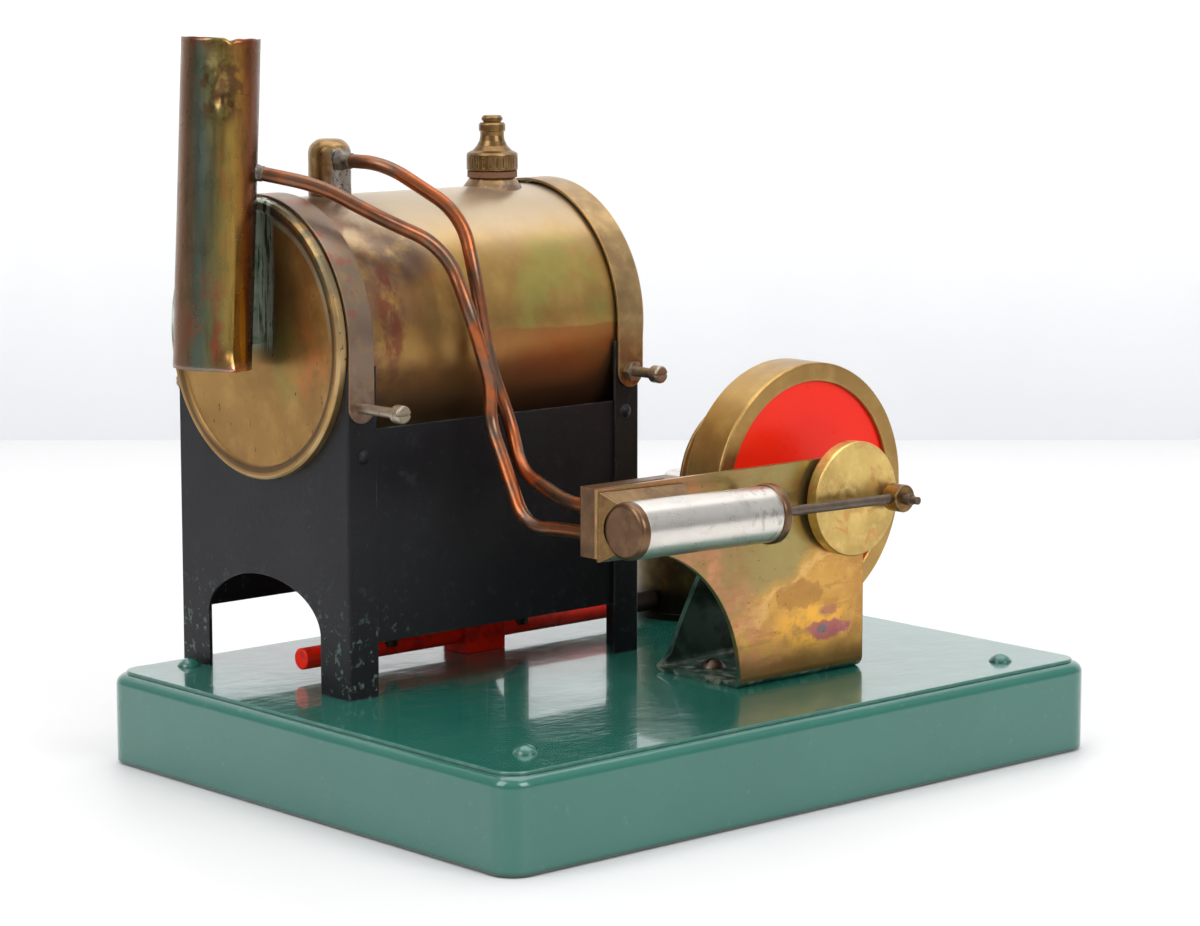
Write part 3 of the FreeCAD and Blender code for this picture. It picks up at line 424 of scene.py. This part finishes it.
def chimney_brass():
    """Heat-coloured brass whose tints run up the tube in soft stripes; the stripes round the tube also hold
    painted highlight and painted shade.
    """
    look = Recipe("chimney_brass", metallic=0.97, roughness=0.26)
    drift = look.times(look.plus(look.noise(9, detail=3, stretch=(1, 1, 6)), -0.5), 26)
    wrap = look.times(look.plus(look.plus(look.angle(chimney_x, boiler_y), drift), 180), 1 / 360)
    # The bands round the tube mix the brass's heat tints with painted highlight and painted shade on its
    # sides.
    base = look.bands(wrap, [(0.0, colour(122, 92, 70)), (0.045, colour(96, 84, 64)),
                             (0.08, colour(76, 90, 80)), (0.12, colour(108, 106, 74)),
                             (0.17, colour(126, 112, 64)), (0.22, colour(146, 118, 56)),
                             (0.26, colour(150, 104, 50)), (0.3, colour(116, 68, 42)),
                             (0.35, colour(88, 62, 44)), (0.42, colour(98, 70, 50)),
                             (0.58, colour(128, 106, 66)), (0.74, colour(96, 84, 66)),
                             (0.88, colour(112, 84, 60)), (1.0, colour(122, 92, 70))])
    fine = look.noise(2.4, detail=5, roughness=0.65, stretch=(1, 1, 10), offset=4)
    base = look.tint(base, look.step(fine, 0.46, 0.66), 0.45, colour(74, 62, 44))
    heated = look.step(look.noise(4, detail=5, offset=25, stretch=(1, 1, 2)), 0.44, 0.62)
    red = look.times(look.step(look.distance((-88, 32, 104), (7, 7, 13)), 1.2, 0.3), heated)
    base = look.tint(base, red, 0.75, colour(138, 70, 48))
    streak = look.times(look.step(look.distance((-84.5, 29.6, 135), (1.6, 4, 34)), 1.2, 0.3), heated)
    base = look.tint(base, streak, 0.5, colour(158, 92, 50))
    # Painted highlight: a bright yellow streak along the crease.
    crease = look.step(look.distance((-80.6, 29.2, 103), (1.1, 3, 13)), 1.1, 0.6)
    base = look.tint(base, crease, 0.8, colour(196, 142, 48))
    teal = look.step(look.distance((-87.8, 32, 140), (2.2, 4, 17)), 1.2, 0.3)
    base = look.tint(base, teal, 0.35, colour(58, 80, 84))
    scuffed = look.step(look.noise(3.4, detail=6, roughness=0.65, offset=6), 0.46, 0.56)
    top = look.times(look.step(look.distance((-84.5, 31, 157), (7, 6, 9)), 1.15, 0.6), scuffed)
    base = look.tint(base, top, 0.75, colour(86, 58, 40))
    rim = look.times(look.step(look.z, 164, 167),
                     look.step(look.noise(2.4, detail=5, offset=12), 0.42, 0.55))
    base = look.tint(base, rim, 0.7, colour(116, 60, 44))
    hem = look.step(look.z, 96.4, 94.6)
    base = look.tint(base, hem, 0.5, colour(126, 110, 112))
    # Painted highlight on the bulging lower lip, in a pinkish tone.
    lip = look.step(look.distance((-81.4, 28.0, 94.6), (4.4, 2.6, 2.0)), 1.2, 0.7)
    base = look.tint(base, lip, 0.8, colour(188, 132, 108))
    look.paint(base, 1.3)
    look.rough(look.noise(5, detail=5, offset=31), 0.18, 0.38)
    return look.relief((look.noise(14, detail=1), 0.2),
                       (look.noise(1.2, offset=3, stretch=(1, 1, 6)), 0.015))


def strap_brass():
    look = Recipe("strap_brass", metallic=0.9, roughness=0.34)
    base = tarnished(look, colour(160, 136, 92), colour(138, 114, 76), colour(110, 88, 60), blotch=9)
    front = look.step(look.x, -40, -50)
    mauve = look.times(front, look.step(look.noise(7, detail=5, offset=15), 0.36, 0.56))
    base = look.tint(base, mauve, 0.6, colour(104, 90, 84))
    blot = look.step(look.noise(4, detail=5, offset=27), 0.55, 0.62)
    spot = look.times(look.times(front, blot), look.step(look.z, 92, 100))
    base = look.tint(base, spot, 0.7, colour(142, 62, 38))
    by_screws = look.times(look.step(look.z, 97, 88),
                           look.step(look.noise(2.4, detail=6, offset=6), 0.42, 0.58))
    base = look.tint(base, by_screws, 0.7, colour(98, 60, 40))
    base = look.tint(base, look.edges(0.3), 0.5, colour(190, 160, 112))
    look.paint(look.tint(base, front, 0.55, colour(82, 70, 64)), 1.95)
    look.rough(look.noise(5, offset=31), 0.24, 0.44)
    return look.relief((look.noise(18, detail=1), 0.2), (look.noise(1.1, offset=3), 0.02), soft_edge=0.25)


def fitting_brass():
    look = Recipe("fitting_brass", metallic=0.92, roughness=0.34)
    base = tarnished(look, colour(154, 124, 78), colour(126, 98, 60), colour(90, 66, 42), blotch=5)
    worn = look.times(look.edges(0.35), look.step(look.noise(3, offset=7), 0.35, 0.55))
    base = look.tint(base, worn, 0.6, colour(206, 172, 116))
    look.paint(base, 1.3)
    look.rough(look.noise(3, offset=31), 0.2, 0.38)
    return look.relief((look.noise(0.8, offset=3), 0.015), soft_edge=0.25)


def cap_bronze():
    """The browner metal of the port block and of the cylinder's two end caps."""
    look = Recipe("cap_bronze", metallic=0.9, roughness=0.34)
    base = tarnished(look, colour(136, 108, 78), colour(116, 88, 64), colour(82, 60, 46), blotch=6)
    base = look.tint(base, look.edges(0.4), 0.5, colour(178, 140, 98))
    look.paint(base, 1.25)
    look.rough(look.noise(3, offset=31), 0.24, 0.42)
    return look.relief((look.noise(0.8, offset=3), 0.02), soft_edge=0.25)


def bracket_metal():
    """Bare heat-tinted brass outside; green paint on the faces inside the channel."""
    look = Recipe("bracket_metal", metallic=0.9, roughness=0.3)
    base = tarnished(look, colour(190, 150, 84), colour(172, 130, 66), colour(146, 104, 56), blotch=9)
    slope = look.plus(look.plus(look.z, look.times(look.x, -0.45)),
                      look.times(look.noise(11, detail=3, offset=41), 16))
    olive = look.step(slope, 43, 49)
    base = look.tint(base, olive, 0.8, colour(120, 114, 74))
    pale_line = look.times(look.step(slope, 41.5, 43), look.step(slope, 45, 43.4))
    base = look.tint(base, pale_line, 0.25, colour(206, 180, 120))
    left = look.step(look.plus(look.x, look.times(look.z, 0.55)), 35, 25)
    pink = look.times(left, look.step(look.noise(6, detail=3, offset=3), 0.36, 0.6))
    base = look.tint(base, pink, 0.6, colour(184, 116, 92))
    warm = look.step(look.noise(4, detail=4, offset=19), 0.35, 0.6)
    amber = look.times(look.step(look.distance((26, bracket_front_y, 34), (14, 40, 6.0)), 1.2, 0.3), warm)
    base = look.tint(base, amber, 0.7, colour(214, 158, 60))
    ripple = look.times(look.plus(look.noise(3.5, detail=5, offset=13), -0.5), 1.2)
    stain = look.distance((31.5, bracket_front_y, 32.2), (7.5, 40, 2.7))
    purple = look.step(look.plus(stain, ripple), 0.95, 0.7)
    upper = look.step(look.plus(look.distance((31, bracket_front_y, 36.6), (5, 40, 2.0)), ripple), 0.8, 0.5)
    base = look.tint(base, look.maths("MAXIMUM", purple, look.times(upper, 0.6)), 0.8, colour(136, 70, 88))
    heart = look.distance((29.5, bracket_front_y, 32.4), (2.6, 40, 1.5))
    blue = look.step(look.plus(heart, ripple), 0.8, 0.4)
    base = look.tint(base, blue, 0.7, colour(84, 96, 106))
    patch = look.step(look.plus(look.distance((22, bracket_front_y, 41), (8, 40, 3.6)), ripple), 1.0, 0.85)
    base = look.tint(base, patch, 0.5, colour(126, 88, 48))
    streaks = look.step(look.noise(2.4, detail=5, roughness=0.65, stretch=(4, 1, 1), offset=16), 0.52, 0.64)
    base = look.tint(base, streaks, 0.4, colour(132, 94, 50))
    hem = look.step(look.plus(look.z, look.times(look.noise(8, offset=9), 5)), 31.5, 27.5)
    base = look.tint(base, hem, 0.75, colour(104, 74, 40))
    arm = look.times(look.step(look.x, 14, 2), look.step(look.noise(5, offset=29), 0.3, 0.55))
    base = look.tint(base, arm, 0.5, colour(124, 96, 62))
    base = look.tint(base, look.edges(0.4), 0.5, colour(92, 64, 42))
    pits = look.step(look.noise(0.9, detail=3, offset=37), 0.66, 0.72)
    base = look.tint(base, pits, 0.6, colour(96, 70, 40))
    behind_face = look.times(look.step(look.y, -42.3, -42.1), look.step(look.x, 2, 3.4))
    inside = look.times(behind_face, look.step(look.z, 70, 62))
    cavity = look.mix(look.step(look.noise(6, offset=8), 0.4, 0.62), colour(22, 38, 33), colour(46, 70, 60))
    scuff = look.times(look.step(look.z, 25, 22.9), look.step(look.noise(3, detail=5, offset=18), 0.5, 0.62))
    cavity = look.tint(cavity, scuff, 0.7, colour(108, 112, 98))
    look.paint(look.mix(inside, base, cavity), 1.75)
    look.join(look.times(look.maths("SUBTRACT", 1.0, inside), 0.9), look.shader.inputs["Metallic"])
    look.rough(look.noise(6, detail=5, offset=31), 0.2, 0.42)
    return look.relief((look.noise(22, detail=1), 0.3), (look.noise(1.2, offset=3), 0.02), soft_edge=0.3)


def disc_brass():
    look = Recipe("disc_brass", metallic=0.88, roughness=0.34)
    base = tarnished(look, colour(200, 178, 112), colour(180, 154, 92), colour(148, 122, 70), blotch=7)
    orange = look.step(look.noise(4.5, detail=6, distortion=0.8, offset=12), 0.53, 0.66)
    base = look.tint(base, orange, 0.55, colour(158, 102, 58))
    dark = look.step(look.distance((31, -47, 64), (7, 30, 3)), 1.1, 0.5)
    dark = look.times(dark, look.step(look.noise(2, detail=4, offset=5), 0.4, 0.56))
    base = look.tint(base, dark, 0.5, colour(112, 84, 56))
    base = look.tint(base, look.edges(0.5), 0.5, colour(122, 88, 54))
    look.paint(base, 1.85)
    look.rough(look.noise(4, offset=31), 0.26, 0.44)
    return look.relief((look.noise(1.2, offset=3), 0.02), soft_edge=0.3)


def wheel_brass():
    look = Recipe("wheel_brass", metallic=0.9, roughness=0.32)
    base = tarnished(look, colour(156, 128, 76), colour(138, 110, 62), colour(114, 88, 50), blotch=14)
    base = look.tint(base, look.edges(0.5), 0.4, colour(196, 168, 112))
    look.paint(base, 2.0)
    look.rough(look.noise(8, offset=31), 0.26, 0.42)
    turned = look.noise(0.5, detail=2, stretch=(12, 1, 12))
    return look.relief((turned, 0.008), (look.noise(20, detail=1), 0.1), soft_edge=0.35)


def tank_brass():
    look = Recipe("tank_brass", metallic=0.9, roughness=0.36)
    base = tarnished(look, colour(126, 112, 66), colour(100, 84, 48), colour(66, 50, 32), blotch=9)
    base = look.tint(base, look.step(look.z, 31, 27), 0.85, colour(26, 23, 22))
    look.paint(base, 1.3)
    look.rough(look.noise(5, offset=31), 0.28, 0.5)
    return look.relief((look.noise(16, detail=1), 0.2), (look.noise(1.2, offset=3), 0.02), soft_edge=0.3)


def red_enamel():
    look = Recipe("red_enamel", roughness=0.3)
    base = look.mix(look.noise(12), colour(250, 30, 8), colour(255, 44, 12))
    dusty = look.times(look.step(look.z, 31, 28), look.step(look.noise(5, detail=5, offset=2), 0.5, 0.66))
    base = look.tint(base, dusty, 0.5, colour(150, 24, 18))
    bare = look.times(look.step(look.x, 33, 36), look.step(look.y, 20, 24))
    base = look.mix(bare, base, colour(44, 32, 24))
    look.paint(base)
    look.shader.inputs["Specular IOR Level"].default_value = 0.3
    look.rough(look.noise(6, offset=9), 0.22, 0.38)
    return look.relief((look.noise(9, detail=1), 0.12), (look.noise(1.4, offset=4), 0.015), soft_edge=0.3)


def nickel():
    look = Recipe("nickel", metallic=0.95, roughness=0.26)
    base = look.mix(look.noise(9, detail=5), colour(158, 153, 146), colour(190, 186, 180))
    smear = look.step(look.noise(3.4, detail=6, roughness=0.7, offset=12), 0.58, 0.7)
    base = look.tint(base, smear, 0.4, colour(146, 138, 128))
    blots = look.noise(1.6, detail=5, stretch=(1, 2, 2), offset=6)
    stain = look.times(look.step(blots, 0.52, 0.62), look.step(look.x, -14, 0))
    base = look.tint(base, stain, 0.45, colour(112, 102, 92))
    look.paint(base, 1.7)
    look.rough(look.noise(4, detail=6, offset=31), 0.2, 0.4)
    drawn = look.noise(0.4, detail=2, stretch=(16, 1, 1))
    return look.relief((drawn, 0.008), (look.noise(10, detail=1), 0.06), soft_edge=0.25)


def copper_pipe():
    look = Recipe("copper_pipe", metallic=0.92, roughness=0.32)
    along = look.noise(20, detail=3, distortion=0.3)
    base = look.bands(along, [(0.3, colour(86, 62, 50)), (0.43, colour(146, 90, 60)),
                              (0.52, colour(114, 92, 76)),
                              (0.6, colour(172, 96, 56)), (0.72, colour(124, 80, 58))])
    dull = look.step(look.noise(3, detail=6, offset=5), 0.5, 0.68)
    base = look.tint(base, dull, 0.3, colour(84, 66, 56))
    look.paint(base, 1.0)
    look.rough(look.noise(4, offset=31), 0.2, 0.42)
    return look.relief((look.noise(5, detail=1), 0.08), (look.noise(0.8, offset=3), 0.012))


def plated_steel():
    look = Recipe("plated_steel", metallic=0.92, roughness=0.34)
    base = look.mix(look.noise(2.4, detail=5), colour(128, 112, 92), colour(188, 178, 160))
    rust = look.step(look.noise(1.5, detail=5, offset=9), 0.58, 0.68)
    base = look.tint(base, rust, 0.6, colour(128, 82, 52))
    look.paint(base)
    look.rough(look.noise(1.6, offset=31), 0.26, 0.5)
    return look.relief((look.noise(0.5, offset=3), 0.02), soft_edge=0.2)


def dull_steel():
    look = Recipe("dull_steel", metallic=0.88, roughness=0.4)
    base = look.mix(look.noise(2.6, detail=5), colour(74, 62, 54), colour(132, 118, 104))
    rust = look.step(look.noise(1.6, detail=5, offset=9), 0.55, 0.68)
    base = look.tint(base, rust, 0.5, colour(102, 66, 44))
    look.paint(base)
    look.rough(look.noise(1.6, offset=31), 0.3, 0.55)
    return look.relief((look.noise(0.5, offset=3), 0.015), soft_edge=0.2)


def solder():
    look = Recipe("solder", metallic=0.8, roughness=0.42)
    base = look.mix(look.noise(3, detail=5), colour(120, 124, 112), colour(172, 174, 164))
    green = look.step(look.noise(2.6, detail=4, offset=7), 0.46, 0.6)
    base = look.tint(base, green, 0.6, colour(70, 108, 84))
    look.paint(base)
    look.rough(look.noise(2, offset=31), 0.3, 0.6)
    return look.relief((look.noise(1.6, offset=3), 0.15))


def grey_solder():
    look = Recipe("grey_solder", metallic=0.85, roughness=0.36)
    base = look.mix(look.noise(2.2, detail=5), colour(92, 84, 76), colour(132, 124, 114))
    base = look.tint(base, look.step(look.noise(1.3, offset=9), 0.56, 0.66), 0.7, colour(72, 60, 52))
    look.paint(base)
    look.rough(look.noise(2, offset=31), 0.25, 0.5)
    return look.relief((look.noise(1.4, offset=3), 0.12))


def fibre():
    look = Recipe("fibre", roughness=0.7)
    look.paint(look.mix(look.noise(1.2, detail=5), colour(98, 62, 42), colour(130, 90, 62)))
    look.rough(look.noise(2, offset=31), 0.55, 0.8)
    return look.relief((look.noise(0.4, offset=3), 0.03), soft_edge=0.2)


def wick_cotton():
    look = Recipe("wick_cotton", roughness=0.9)
    scorched = look.step(look.z, 39.5, 42.6)
    base = look.mix(look.noise(1.2, detail=5), colour(196, 186, 164), colour(226, 218, 200))
    look.paint(look.tint(base, scorched, 0.85, colour(52, 44, 38)))
    look.rough(look.noise(2, offset=31), 0.8, 0.95)
    return look.relief((look.noise(0.35, detail=2, stretch=(1, 1, 5)), 0.15))


finishes = {
    green_enamel: ["base_board", "base_plate", "base_nails"],
    firebox_black: ["firebox_front_frame", "firebox_rear_frame", "firebox_side_panel_near",
                    "firebox_side_panel_far", "firebox_rivets"],
    boiler_brass: ["boiler_shell"],
    dome_brass: ["steam_dome", "valve_bush"],
    cap_brass: ["boiler_front_cap", "boiler_rear_cap"],
    strap_brass: ["boiler_strap_front", "boiler_strap_rear"],
    fitting_brass: ["valve_body", "valve_stem", "front_bearing", "rear_bearing",
                    "cylinder_port_face", "trunnion_nut", "piston", "big_end_eye"],
    cap_bronze: ["cylinder_head_cap", "cylinder_gland_cap", "port_block"],
    bracket_metal: ["engine_bracket"],
    disc_brass: ["crank_disc"],
    wheel_brass: ["flywheel_rim", "flywheel_hub", "drive_pulley"],
    tank_brass: ["burner_tank", "wick_tubes"],
    red_enamel: ["flywheel_web", "burner_tube", "burner_foot"],
    nickel: ["cylinder_barrel", "tank_cap"],
    copper_pipe: ["steam_pipe", "exhaust_pipe"],
    plated_steel: ["strap_screws", "strap_nuts", "valve_spring", "trunnion_spring"],
    dull_steel: ["bracket_screws", "trunnion_pin", "piston_rod", "big_end_stud", "crankshaft",
                 "crank_pin", "hub_grub_screw"],
    solder: ["pipe_collars", "chimney_solder"],
    fibre: ["valve_washer"],
}


def dress(piece, material):
    piece.data.materials.clear()
    piece.data.materials.append(material)


for recipe, names in finishes.items():
    material = recipe()
    for name in names:
        dress(nodes[name], material)


# Pieces with more shape than the CAD nodes ------------------------------------------------

def skin(bm, rings, closed=False):
    """Join rings of points, each to the next, into one surface."""
    rows = [[bm.verts.new(place * mm) for place in ring] for ring in rings]
    following = rows[1:] + rows[:1] if closed else rows[1:]
    for row, after in zip(rows, following):
        for corner in range(len(row)):
            beside = (corner + 1) % len(row)
            bm.faces.new((row[corner], row[beside], after[beside], after[corner]))
    if not closed:
        bm.faces.new(list(reversed(rows[0])))
        bm.faces.new(rows[-1])


def finish_piece(bm, name, body, material):
    bmesh.ops.recalc_face_normals(bm, faces=bm.faces)
    mesh = bpy.data.meshes.new(name)
    bm.to_mesh(mesh)
    bm.free()
    for face in mesh.polygons:
        face.use_smooth = True
    piece = bpy.data.objects.new(name, mesh)
    bpy.context.collection.objects.link(piece)
    dress(piece, material)
    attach(piece, body)
    return piece


def hill(value, centre, width):
    """A smooth hill, 1 at its centre and fading over its width."""
    return math.exp(-((value - centre) / width) ** 2)


def chimney_radius_at(angle, height):
    """The tube's outer radius, with its two dents, its long crease and its bulging lower lip."""
    radius = chimney_radius - chimney_margin
    around = Vector((math.cos(math.radians(angle)), math.sin(math.radians(angle)), height / 24))
    radius += 0.1 * noise.noise(around * 1.5)
    radius -= 1.3 * hill(angle, -122, 11) * hill(height, 155, 3.4)
    radius -= 0.8 * hill(angle, -137, 9) * hill(height, 160.5, 2.6)
    radius -= 0.35 * hill(angle, -150, 12) * hill(height, 146, 9)
    radius += 0.3 * hill(angle, -97, 3) * hill(height, 104, 14)
    radius += 1.6 * hill(angle, -98, 15) * hill(height, 94, 3)
    return radius


def chimney_ring(share, inward):
    """One ring of the tube, that share of the way up from its lower edge to its torn rim."""
    along = (chimney_head - chimney_foot).normalized()
    across = Vector((along.z, 0.0, -along.x))
    length = (chimney_head - chimney_foot).length
    ring = []
    for side in range(chimney_sides):
        angle = 360 * side / chimney_sides - 180
        turn = math.radians(angle)
        direction = across * math.cos(turn) + Vector((0.0, 1.0, 0.0)) * math.sin(turn)
        uneven = noise.noise(direction * 2.4)
        torn = 0.25 * uneven + 0.8 * hill(angle, -112, 5) + 0.6 * hill(angle, 40, 8)
        top = length - chimney_end_margin - torn
        bottom = chimney_end_margin + 0.15 * noise.noise(direction * 3.0 + Vector((5.0, 0.0, 0.0)))
        travel = bottom + (top - bottom) * share
        height = chimney_foot.z + travel
        radius = chimney_radius_at(angle, height) - inward
        ring.append(chimney_foot + along * travel + direction * radius)
    return ring


def chimney():
    bm = bmesh.new()
    rising = range(chimney_steps + 1)
    rings = [chimney_ring(step / chimney_steps, 0.0) for step in rising]
    rings += [chimney_ring(step / chimney_steps, chimney_wall) for step in reversed(rising)]
    skin(bm, rings, closed=True)
    piece = finish_piece(bm, "chimney_tube", "frame", chimney_brass())
    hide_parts("chimney")


def tube_ring(centre, direction, radius, sides, lumps=0.0):
    """A ring square to a direction; lumps roughen it."""
    sideways = direction.orthogonal().normalized()
    upright = direction.cross(sideways).normalized()
    ring = []
    for side in range(sides):
        turn = 2 * math.pi * side / sides
        outward = sideways * math.cos(turn) + upright * math.sin(turn)
        place = centre + outward * radius
        ring.append(place + outward * (lumps * noise.noise(place * 0.9)))
    return ring


def solder_fillet(name, material, start, direction, reach, wide):
    """Solder that has run round a pipe's end: wide at the joint, thin along the pipe."""
    bm = bmesh.new()
    direction = Vector(direction).normalized()
    rings = []
    for step in range(solder_steps + 1):
        share = step / solder_steps
        radius = solder_inside + solder_film + (wide - solder_inside) * (1 - share) ** 2.2
        centre = Vector(start) + direction * (reach * share)
        rings.append(tube_ring(centre, direction, radius, solder_sides, solder_lumps * (1 - share)))
    skin(bm, rings)
    finish_piece(bm, name, "frame", material)


def strand(bm, x, angle, spread):
    """One cotton strand, twisted a little and splayed at its scorched end."""
    upright = Vector((0.0, 0.0, 1.0))
    rings = []
    for step in range(strand_steps + 1):
        share = step / strand_steps
        turn = angle + strand_twist * share
        out = spread * (1.0 + strand_splay * share * share)
        height = wick_low + (wick_high - wick_low) * share - strand_uneven * share * random.random()
        centre = Vector((x + out * math.cos(turn), wick_y + out * math.sin(turn), height))
        radius = strand_radius * (1.0 - strand_taper * share)
        rings.append(tube_ring(centre, upright, radius, strand_sides))
    skin(bm, rings)


def wicks():
    bm = bmesh.new()
    for x in wick_places:
        strand(bm, x, 0.0, 0.0)
        for count, spread in wick_circles:
            for number in range(count):
                strand(bm, x, 2 * math.pi * number / count + 0.2 * random.random(), spread)
    piece = finish_piece(bm, "wick_strands", "burner", wick_cotton())
    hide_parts("wicks")


chimney()
wicks()
pipe_solder = grey_solder()
solder_fillet("dome_steam_solder", pipe_solder, steam_joint, steam_heading, 3.2, 2.9)
solder_fillet("chimney_exhaust_solder", pipe_solder, exhaust_joint, exhaust_heading, 2.6, 2.3)


# Stage, light and camera -------------------------------------------------------------------
def table_paint():
    look = Recipe("table_white", roughness=0.5)
    look.paint(look.mix(look.noise(160, detail=3), colour(225, 224, 224), colour(230, 229, 228)))
    return look.relief((look.noise(3, detail=4), 0.02))


def wall_paint():
    """White wall with painted shade, a little greyer towards the table."""
    look = Recipe("wall_white", roughness=0.8)
    rise = look.plus(look.z, look.times(look.noise(120, detail=4), 60))
    look.paint(look.mix(look.step(rise, 10, 170), colour(226, 227, 229), colour(250, 250, 250)))
    return look.relief((look.noise(3, detail=4), 0.02))


def sheet_object(name, corners, material):
    mesh = bpy.data.meshes.new(name)
    mesh.from_pydata(corners, [], [range(len(corners))])
    piece = bpy.data.objects.new(name, mesh)
    bpy.context.collection.objects.link(piece)
    dress(piece, material)


def stage():
    across = Vector((view_along.y, -view_along.x, 0.0))
    foot = Vector((camera_place.x, camera_place.y, 0.0)) + view_along * wall_distance
    side = across * table_half
    near = foot - view_along * table_depth
    sheet_object("table", [near - side, near + side, foot + side, foot - side], table_paint())
    rise = Vector((0.0, 0.0, wall_height))
    wall = [foot - side, foot + side, foot + side + rise, foot - side + rise]
    sheet_object("wall", wall, wall_paint())


def lamp(name, place, target, size, power):
    light = bpy.data.lights.new(name, "AREA")
    light.shape = "RECTANGLE"
    light.size, light.size_y = size
    light.energy = power
    piece = bpy.data.objects.new(name, light)
    piece.location = place
    piece.rotation_euler = (Vector(target) - Vector(place)).to_track_quat("-Z", "Y").to_euler()
    bpy.context.collection.objects.link(piece)


def lights():
    lamp("overhead", (0.15, 0.1, 1.15), (0.0, 0.0, 0.05), (1.3, 1.0), 8)
    lamp("key", (-0.95, 0.05, 0.75), (0.0, 0.0, 0.08), (0.6, 0.8), 5.6)
    lamp("window", (0.1, -1.1, 0.7), (0.0, 0.0, 0.08), (0.7, 0.6), 6.5)


def room_light():
    """Soft light from all round, dim near the floor and bright overhead."""
    world = bpy.data.worlds.new("room")
    world.use_nodes = True
    bpy.context.scene.world = world
    tree = world.node_tree
    background = tree.nodes["Background"]
    coordinates = tree.nodes.new("ShaderNodeTexCoord")
    axes = tree.nodes.new("ShaderNodeSeparateXYZ")
    height = tree.nodes.new("ShaderNodeMapRange")
    height.inputs["From Min"].default_value = -0.2
    height.inputs["From Max"].default_value = 0.7
    shades = tree.nodes.new("ShaderNodeValToRGB")
    shades.color_ramp.elements[0].color = (0.16, 0.15, 0.14, 1)
    shades.color_ramp.elements[1].color = (0.82, 0.84, 0.88, 1)
    tree.links.new(coordinates.outputs["Generated"], axes.inputs[0])
    tree.links.new(axes.outputs["Z"], height.inputs["Value"])
    tree.links.new(height.outputs["Result"], shades.inputs["Fac"])
    tree.links.new(shades.outputs["Color"], background.inputs["Color"])
    background.inputs["Strength"].default_value = 0.72


def camera():
    data = bpy.data.cameras.new("camera")
    data.lens = camera_lens
    data.sensor_width = 36
    piece = bpy.data.objects.new("camera", data)
    piece.location = camera_place
    piece.rotation_euler = (camera_target - camera_place).to_track_quat("-Z", "Y").to_euler()
    bpy.context.collection.objects.link(piece)
    bpy.context.scene.camera = piece


stage()
lights()
room_light()
camera()
bpy.context.scene.view_settings.view_transform = "Standard"
